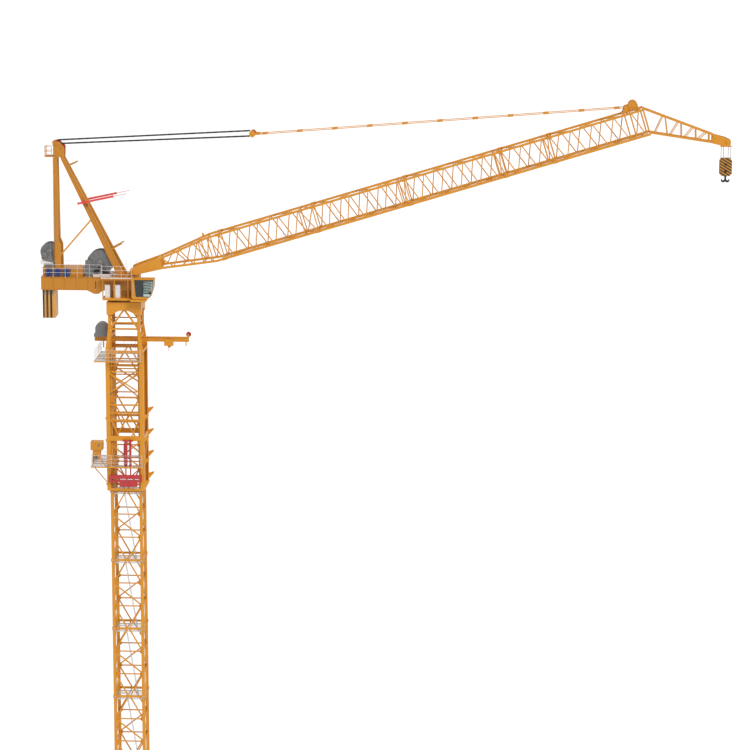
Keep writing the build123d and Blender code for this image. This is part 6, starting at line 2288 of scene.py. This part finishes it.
@dataclass
class Cab:
    """Inside and trim of the cab: side skin, pale plates and dark window bars that paint the glass's
    reflection, seat, a roller blind that also stands for that reflection, roof lip and grab rail.

    Attributes:
        near: outer face of the near wall.
        far: outer face of the far wall.
        floor: height of the floor.
        roof: height of the roof.
    """

    near: float = -1.36
    far: float = -0.72
    floor: float = 26.97
    roof: float = 27.844

    def surround(self) -> Form:
        """Dark skin of the near wall round the side window, with a slanted rear edge and a raised panel.

        Returns:
            The skin and the panel.
        """
        y0, y1 = self.near - 0.008, self.near
        forms = [plate([(0.59, 27.825), (1.012, 27.825), (1.012, 27.01), (0.66, 27.01)], Facing.SIDE, y0, y1)]
        forms.append(plate([(1.012, 27.825), (1.516, 27.825), (1.512, 27.755), (1.012, 27.755)],
                           Facing.SIDE, y0, y1))
        forms.append(plate([(1.012, 27.00), (1.30, 27.00), (1.345, 27.03), (1.012, 27.03)],
                           Facing.SIDE, y0, y1))
        forms.append(plate([(1.475, 27.755), (1.500, 27.755), (1.490, 27.44), (1.345, 27.00), (1.325, 27.00),
                            (1.468, 27.44)], Facing.SIDE, y0, y1))
        forms.append(box((0.70, y0 - 0.005, 27.10), (0.95, y0, 27.72)))
        return joined(forms)

    def reflection_plates(self) -> Form:
        """Pale opaque plates between the side window and the cab's slanted front edge, and below the window:
        painted reflection on the glass.

        Returns:
            The plates of painted reflection.
        """
        y0, y1 = self.near - 0.006, self.near
        right = [(1.402, 27.755), (1.475, 27.755), (1.468, 27.44), (1.402, 27.24)]
        below = [(1.012, 27.03), (1.335, 27.03), (1.402, 27.24), (1.402, 27.168), (1.012, 27.168)]
        return plate(right, Facing.SIDE, y0, y1) + plate(below, Facing.SIDE, y0, y1)

    def reflection_bars(self) -> Form:
        """Five dark bars across the side window, each bowed and falling a little towards the front: painted
        dark bands of the glass's reflection.

        Returns:
            The bars and their post.
        """
        forms = []
        t = np.linspace(0, 1, 14)
        for k in range(5):
            z = 27.695 - 0.125 * k
            reach = 0.45 - 0.022 * k
            path = rows(1.015 + reach * t, self.near - 0.016, z - 0.045 * t ** 2 + 0.012 * np.sin(pi * t))
            forms.append(sweep(path, rectangle(0.016, 0.056), (0, 1, 0)))
        forms.append(bars((1.016, self.near - 0.012, 27.02), (1.016, self.near - 0.012, 27.80),
                          rectangle(0.020, 0.020), (0, 1, 0)))
        return joined(forms)

    def seat(self) -> Form:
        """Seat with rounded cushion and back, on a pedestal between two arm consoles.

        Returns:
            The seat and its consoles.
        """
        x, y, z = 0.86, (self.near + self.far) / 2, self.floor
        forms = []
        t = np.linspace(0, tau, 24, endpoint=False)
        squared = np.sign(np.cos(t)) * np.abs(np.cos(t)) ** 0.5, np.sign(np.sin(t)) * np.abs(np.sin(t)) ** 0.5
        section = np.stack((0.13 * squared[0], 0.035 * squared[1]), -1)
        cushion = np.array([(x - 0.12, y, z + 0.24), (x - 0.06, y, z + 0.245), (x + 0.06, y, z + 0.25),
                            (x + 0.13, y, z + 0.245)])
        forms.append(sweep(cushion, section, (0, 0, 1), 0.0, np.array((0.8, 1.0, 1.0, 0.82))))
        back = np.array([(x - 0.11, y, z + 0.26), (x - 0.14, y, z + 0.36), (x - 0.17, y, z + 0.50),
                         (x - 0.185, y, z + 0.60)])
        forms.append(sweep(back, section, (1, 0, 0), 0.0, np.array((0.85, 1.0, 0.95, 0.7))))
        forms.append(lathe([(POLE, 0.03), (0.10, 0.03), (0.10, 0.045), (0.04, 0.06), (0.04, 0.21),
                            (POLE, 0.21)], (x, y, z), (0, 0, 1), 20))
        for side in (-1, 1):
            forms.append(box((x - 0.06, y + side * 0.16 - 0.035, z + 0.19),
                             (x + 0.14, y + side * 0.16 + 0.035, z + 0.34)))
            forms.append(bars((x + 0.10, y + side * 0.16, z + 0.34), (x + 0.115, y + side * 0.16, z + 0.42),
                              polygon(10, 0.008), (0, 1, 0)))
        return joined(forms)

    def trim(self) -> Form:
        """Roof lip and the slanted yellow edge of the dark skin.

        Returns:
            The lip and the edge.
        """
        forms = [box((0.455, self.near - 0.004, self.roof - 0.012),
                     (1.53, self.far + 0.004, self.roof + 0.010))]
        forms.append(plate([(0.562, 27.83), (0.589, 27.83), (0.659, 27.0), (0.63, 27.0)], Facing.SIDE,
                           self.near - 0.010, self.near))
        return joined(forms)

    def reflection_blind(self) -> Form:
        """Pale roller blind drawn down inside the far window, with a tube at its top; it stands for the glass's
        pale reflection.

        Returns:
            The blind.
        """
        forms = [box((0.98, self.far - 0.068, 27.03), (1.38, self.far - 0.062, 27.74))]
        forms.append(bars((0.97, self.far - 0.075, 27.752), (1.39, self.far - 0.075, 27.752),
                          polygon(14, 0.018)))
        forms.append(bars((0.98, self.far - 0.065, 27.03), (1.38, self.far - 0.065, 27.03),
                          polygon(10, 0.009)))
        return joined(forms)

    def rail(self) -> Form:
        """Grab rail on stand-offs beside the near wall's rear edge.

        Returns:
            The grab rail.
        """
        forms = []
        for z in (27.2, 27.6):
            forms.append(bars((0.53, self.near, z), (0.53, self.near - 0.035, z), polygon(8, 0.007)))
        forms.append(bars((0.53, self.near - 0.035, 27.18), (0.53, self.near - 0.035, 27.62),
                          polygon(8, 0.008), (1, 0, 0)))
        return joined(forms)

    def build(self) -> None:
        """Makes the cab's fine pieces."""
        piece("cab_side_skin", self.surround(), DARK_PANEL, "upper_works")
        # Pale opaque plates on the cab wall: painted reflection of the glass.
        piece("cab_reflection_plates", self.reflection_plates(), PANE_REFLECTION, "upper_works")
        # The pale blind also stands for the glass's pale reflection.
        piece("cab_reflection_blind", self.reflection_blind(), CABINET, "upper_works")
        piece("cab_grab_rail", self.rail(), ZINC, "upper_works")
        # Dark bars over the side window: painted dark bands of the glass's reflection.
        piece("cab_reflection_bars", self.reflection_bars(), DARK_PANEL, "upper_works")
        piece("cab_seat", self.seat(), SEAT_CLOTH, "upper_works", 50)
        piece("cab_trim", self.trim(), YELLOW, "upper_works")


@dataclass
class Boom:
    """Details of the boom and fly jib: joint lugs, grating, hand line, head sheave, tip and pendants.

    Attributes:
        frames: places of the joint frames along the boom.
        half: distance from the middle to a chord across.
        bearers: first place, end and spacing of the walkway's bearers along the boom.
    """

    frames: tuple[float, ...] = (4.455, 9.14, 13.70, 18.40, 20.78)
    half: float = 0.64
    bearers: tuple[float, float, float] = (4.7, 25.1, 1.36)

    def lugs(self) -> Form:
        """Paired ears with a pin on every chord at the section joints.

        Returns:
            The ears and pins.
        """
        forms = []
        for u in self.frames:
            for upper in (True, False):
                v = float(chord_v(u, upper))
                for side in (-1, 1):
                    y = side * self.half
                    for dy in (-0.054, 0.054):
                        low, high = on_boom(u - 0.12, v, y + dy), on_boom(u + 0.12, v, y + dy)
                        forms.append(bars(low, high, rectangle(0.010, 0.130)))
                    for du in (-0.06, 0.06):
                        start, end = on_boom(u + du, v, y - 0.075), on_boom(u + du, v, y + 0.075)
                        forms.append(bars(start, end, polygon(14, 0.026)))
        return joined(forms)

    def walkway(self) -> Form:
        """Open grating between the lower chords: long bars, cross bars every 80 mm, and bearers.

        Returns:
            The grating.
        """
        u = np.arange(4.56, 25.12, 0.08)
        forms = [bars(on_boom(u, -0.612, -0.15), on_boom(u, -0.612, 0.15), rectangle(0.006, 0.010))]
        for y in (-0.15, -0.05, 0.05, 0.15):
            forms.append(bars(on_boom(4.5, -0.616, y), on_boom(25.13, -0.616, y), rectangle(0.006, 0.020)))
        u = np.arange(*self.bearers)
        forms.append(bars(on_boom(u, -0.640, -0.60), on_boom(u, -0.640, 0.60), rectangle(0.025, 0.025)))
        return joined(forms)

    def hand_line(self) -> Form:
        """Stanchions along the near edge of the walkway, and the wire strung through their tops.

        Returns:
            The stanchions and the wire.
        """
        u = np.append(np.arange(*self.bearers), 25.0)
        forms = [bars(on_boom(u, -0.626, -0.15), on_boom(u, -0.11, -0.15), polygon(8, 0.008), (0, 1, 0))]
        forms.append(bars(on_boom(u[0], -0.12, -0.15), on_boom(u[-1], -0.12, -0.15), polygon(6, 0.005)))
        return joined(forms)

    def head_sheave(self) -> Form:
        """Guide sheaves on both sides of the boom's head, and their shaft.

        Returns:
            Both sheaves and the shaft.
        """
        forms = []
        for y in (-0.392, 0.392):
            centre = tuple(on_boom(24.945, 0.83, y))
            forms.append(Sheave(centre, 0.222, 0.045, 0.045, 6).form())
        forms.append(bars(on_boom(24.945, 0.83, -0.42), on_boom(24.945, 0.83, 0.42), polygon(20, 0.044)))
        return joined(forms)

    def tip_sheaves(self) -> Form:
        """Three grooved sheaves on the fly jib's axle."""
        return joined([Sheave((TIP_AXLE[0], y, TIP_AXLE[2]), 0.184, 0.05, 0.042).form()
                       for y in (-0.09, 0.0, 0.09)])

    def tip_fittings(self) -> Form:
        """Axle keepers on the cheeks of the fly jib's tip, with their bolts.

        Returns:
            The keepers and bolts.
        """
        forms = []
        for side in (-1, 1):
            y = side * 0.2625
            cap = [(POLE, 0), (0.07, 0), (0.075, 0.008), (0.065, 0.024), (POLE, 0.026)]
            forms.append(lathe(cap, (TIP_AXLE[0], y, TIP_AXLE[2]), (0, side, 0), 24))
            places = around((TIP_AXLE[0], side * 0.2865, TIP_AXLE[2]), 0.052, 6)
            forms.append(bolts(places, (0, side, 0), 0.007, 0.006))
        return joined(forms)

    def pendants(self) -> Form:
        """Slim flat bars of both pendant lines, in lengths joined by pinned fork plates.

        Returns:
            Both pendant lines.
        """
        start, end = np.array((6.40, 0.0, 34.684)), np.array((23.7465, 0.0, 36.0594))
        way = (end - start) / np.linalg.norm(end - start)
        forms = []
        for side in (-1, 1):
            y = np.array((0, side * 0.30, 0))
            forms.append(bars(start + y, end + y, rectangle(0.020, 0.034)))
            for share in np.linspace(0.02, 0.975, 11):
                middle = start + (end - start) * share + y
                for dy in (-0.020, 0.020):
                    low = middle - way * 0.13 + (0, dy, 0)
                    forms.append(bars(low, low + way * 0.26, rectangle(0.012, 0.062)))
                for along in (-0.08, 0.08):
                    place = middle + way * along
                    forms.append(bars(place - (0, 0.034, 0), place + (0, 0.034, 0), polygon(12, 0.016)))
        eye = [(0.042, -0.028), (0.075, -0.028), (0.075, 0.028), (0.042, 0.028)]
        forms += [lathe(eye, (end[0], side * 0.30, end[2]), (0, -1, 0), 28, True) for side in (-1, 1)]
        return joined(forms)

    def cable(self) -> Form:
        """Power cable clipped along the near lower chord up to the head.

        Returns:
            The cable.
        """
        u = np.linspace(4.5, 24.9, 120)
        path = on_boom(u, chord_v(u, False) + 0.062 + 0.004 * np.sin(u * 5), -self.half + 0.03)
        return sweep(path, polygon(8, 0.007), (0, 1, 0))

    def build(self) -> None:
        """Makes the boom's fine pieces."""
        piece("boom_joint_lugs", self.lugs(), YELLOW, "boom")
        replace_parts(piece("boom_walkway_grating", self.walkway(), YELLOW, "boom"), "boom_walkway")
        piece("boom_hand_line", self.hand_line(), ZINC, "boom")
        piece("boom_head_sheaves", self.head_sheave(), YELLOW, "boom")
        piece("jib_tip_sheaves", self.tip_sheaves(), GREY, "boom")
        piece("jib_tip_fittings", self.tip_fittings(), YELLOW, "boom")
        piece("boom_cable", self.cable(), YELLOW, "boom", 60)
        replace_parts(piece("pendant_lines", self.pendants(), YELLOW, "pendants"), "pendant_bars")


@dataclass
class Studio:
    """Camera, light, floor and backdrop.

    Attributes:
        azimuth: turn of the camera to the +X side, in degrees.
        elevation: height angle of the camera above the point that it looks at.
        distance: from the camera to that point.
        target: the point.
        lens: focal length in millimetres on a 36 mm sensor.
        shift: sideways shift of the picture, as a share of its width.
    """

    azimuth: float = 3.66
    elevation: float = 11.43
    distance: float = 133.4
    target: Point = (9.36, 0.0, 23.058)
    lens: float = 133.0
    shift: float = 0.0733

    def camera(self) -> None:
        """Camera that looks at the target from the azimuth and elevation."""
        a, e = radians(self.azimuth), radians(self.elevation)
        back = Vector((sin(a) * cos(e), -cos(a) * cos(e), sin(e)))
        view = bpy.data.objects.new("view", bpy.data.cameras.new("view"))
        bpy.context.scene.collection.objects.link(view)
        view.data.lens = self.lens
        view.data.sensor_width = 36.0
        view.data.shift_x = self.shift
        view.data.clip_start = 1.0
        view.data.clip_end = 5000.0
        view.location = Vector(self.target) + back * self.distance
        view.rotation_mode = "QUATERNION"
        view.rotation_quaternion = (-back).to_track_quat("-Z", "Y")
        bpy.context.scene.camera = view

    def seen(self, tree: bpy.types.NodeTree) -> bpy.types.NodeSocket:
        """One for rays from the camera, from gloss and through glass, and zero for others.

        Args:
            tree: node tree that the value is made in.

        Returns:
            The value's socket.
        """
        path = tree.nodes.new("ShaderNodeLightPath")
        total = path.outputs["Is Camera Ray"]
        for name in ("Is Glossy Ray", "Is Transmission Ray"):
            both = tree.nodes.new("ShaderNodeMath")
            both.operation = "MAXIMUM"
            tree.links.new(total, both.inputs[0])
            tree.links.new(path.outputs[name], both.inputs[1])
            total = both.outputs[0]
        return total

    def world(self) -> None:
        """White where it is seen, and a level pale light elsewhere."""
        world = bpy.data.worlds.new("studio")
        bpy.context.scene.world = world
        world.use_nodes = True
        tree = world.node_tree
        tree.nodes.clear()
        strengths = tree.nodes.new("ShaderNodeMix")
        strengths.data_type = "FLOAT"
        tree.links.new(self.seen(tree), strengths.inputs[0])
        strengths.inputs[2].default_value = 0.52
        strengths.inputs[3].default_value = 1.0
        ground = tree.nodes.new("ShaderNodeBackground")
        ground.inputs["Color"].default_value = (1, 1, 1, 1)
        tree.links.new(strengths.outputs[0], ground.inputs["Strength"])
        out = tree.nodes.new("ShaderNodeOutputWorld")
        tree.links.new(ground.outputs[0], out.inputs["Surface"])

    def sun(self) -> None:
        """Soft key light from the camera's upper right."""
        lamp = bpy.data.lights.new("key", "SUN")
        lamp.energy = 1.75
        lamp.angle = radians(28)
        lamp.color = (1.0, 0.985, 0.96)
        made = bpy.data.objects.new("key", lamp)
        made.rotation_mode = "QUATERNION"
        made.rotation_quaternion = Vector((-0.45, 0.72, -0.75)).to_track_quat("-Z", "Y")
        bpy.context.scene.collection.objects.link(made)

    def floor(self) -> None:
        """Pale floor at the foot of the crane that fades into the white round it and keeps the shadow."""
        reach = 1500.0
        mesh = bpy.data.meshes.new("floor")
        mesh.from_pydata([(-reach, -reach, 0), (reach, -reach, 0), (reach, reach, 0), (-reach, reach, 0)], [],
                         [(0, 1, 2, 3)])
        made = bpy.data.objects.new("floor", mesh)
        bpy.context.scene.collection.objects.link(made)
        material = bpy.data.materials.new("pale_floor")
        material.use_nodes = True
        tree = material.node_tree
        tree.nodes.clear()
        plain = tree.nodes.new("ShaderNodeBsdfDiffuse")
        plain.inputs["Color"].default_value = (0.86, 0.86, 0.86, 1)
        glow = tree.nodes.new("ShaderNodeEmission")
        both = tree.nodes.new("ShaderNodeAddShader")
        tree.links.new(plain.outputs[0], both.inputs[0])
        tree.links.new(glow.outputs[0], both.inputs[1])
        tree.links.new(self.seen(tree), glow.inputs["Strength"])
        glow.inputs["Color"].default_value = (0.34, 0.34, 0.34, 1)
        out = tree.nodes.new("ShaderNodeOutputMaterial")
        tree.links.new(both.outputs[0], out.inputs["Surface"])
        mesh.materials.append(material)

    def build(self) -> None:
        """Sets up the whole studio."""
        self.camera()
        self.world()
        self.sun()
        self.floor()
        bpy.context.scene.view_settings.view_transform = "Standard"


# Nodes that take the darker yellow as painted shade.
PAINTED_SHADE_NODES = ("machinery_deck", "aframe_rear_legs", "aframe_front_legs", "aframe_head")


def dress_frame() -> None:
    """Gives each node of the frame its slot's finish, with a darker copy of the yellow on the deck and the
    A-frame as painted shade.
    """
    slots = {row["node"]: row["material_slot"] for row in frame["record"]["subparts"]}
    for name, node in frame["nodes"].items():
        node.data.materials.clear()
        finish = SHADED_YELLOW if name in PAINTED_SHADE_NODES else FINISH_OF_SLOT[slots[name]]
        node.data.materials.append(finish.material())


def main() -> None:
    """Builds the studio and every sub-assembly."""
    logging.basicConfig(level=logging.INFO, format="%(message)s")
    Studio().build()
    dress_frame()
    Mast().build()
    Cage().build()
    TowerTop().build()
    Deck().build()
    Ballasting().build()
    AFrame().build()
    Cab().build()
    Winch("hoist_winch", (-1.19, 0.0, 28.459), radius=0.618, barrel=0.482, reach=0.35, floor=DECK_TOP,
          case=((-1.87, -0.47, 27.84), (-1.56, -0.38, 28.62))).build()
    Winch("luffing_winch", (-3.62, 0.0, 28.974), radius=0.43, barrel=0.31, reach=0.30, floor=PLINTH_TOP,
          case=((-3.98, -0.42, 28.62), (-3.70, -0.345, 28.98))).build()
    Tray().build()
    Skid().build()
    SlewDrives().build()
    Motors().build()
    Boom().build()
    LuffTackle().build()
    HookTackle().build()


if __name__ == "__main__":
    main()
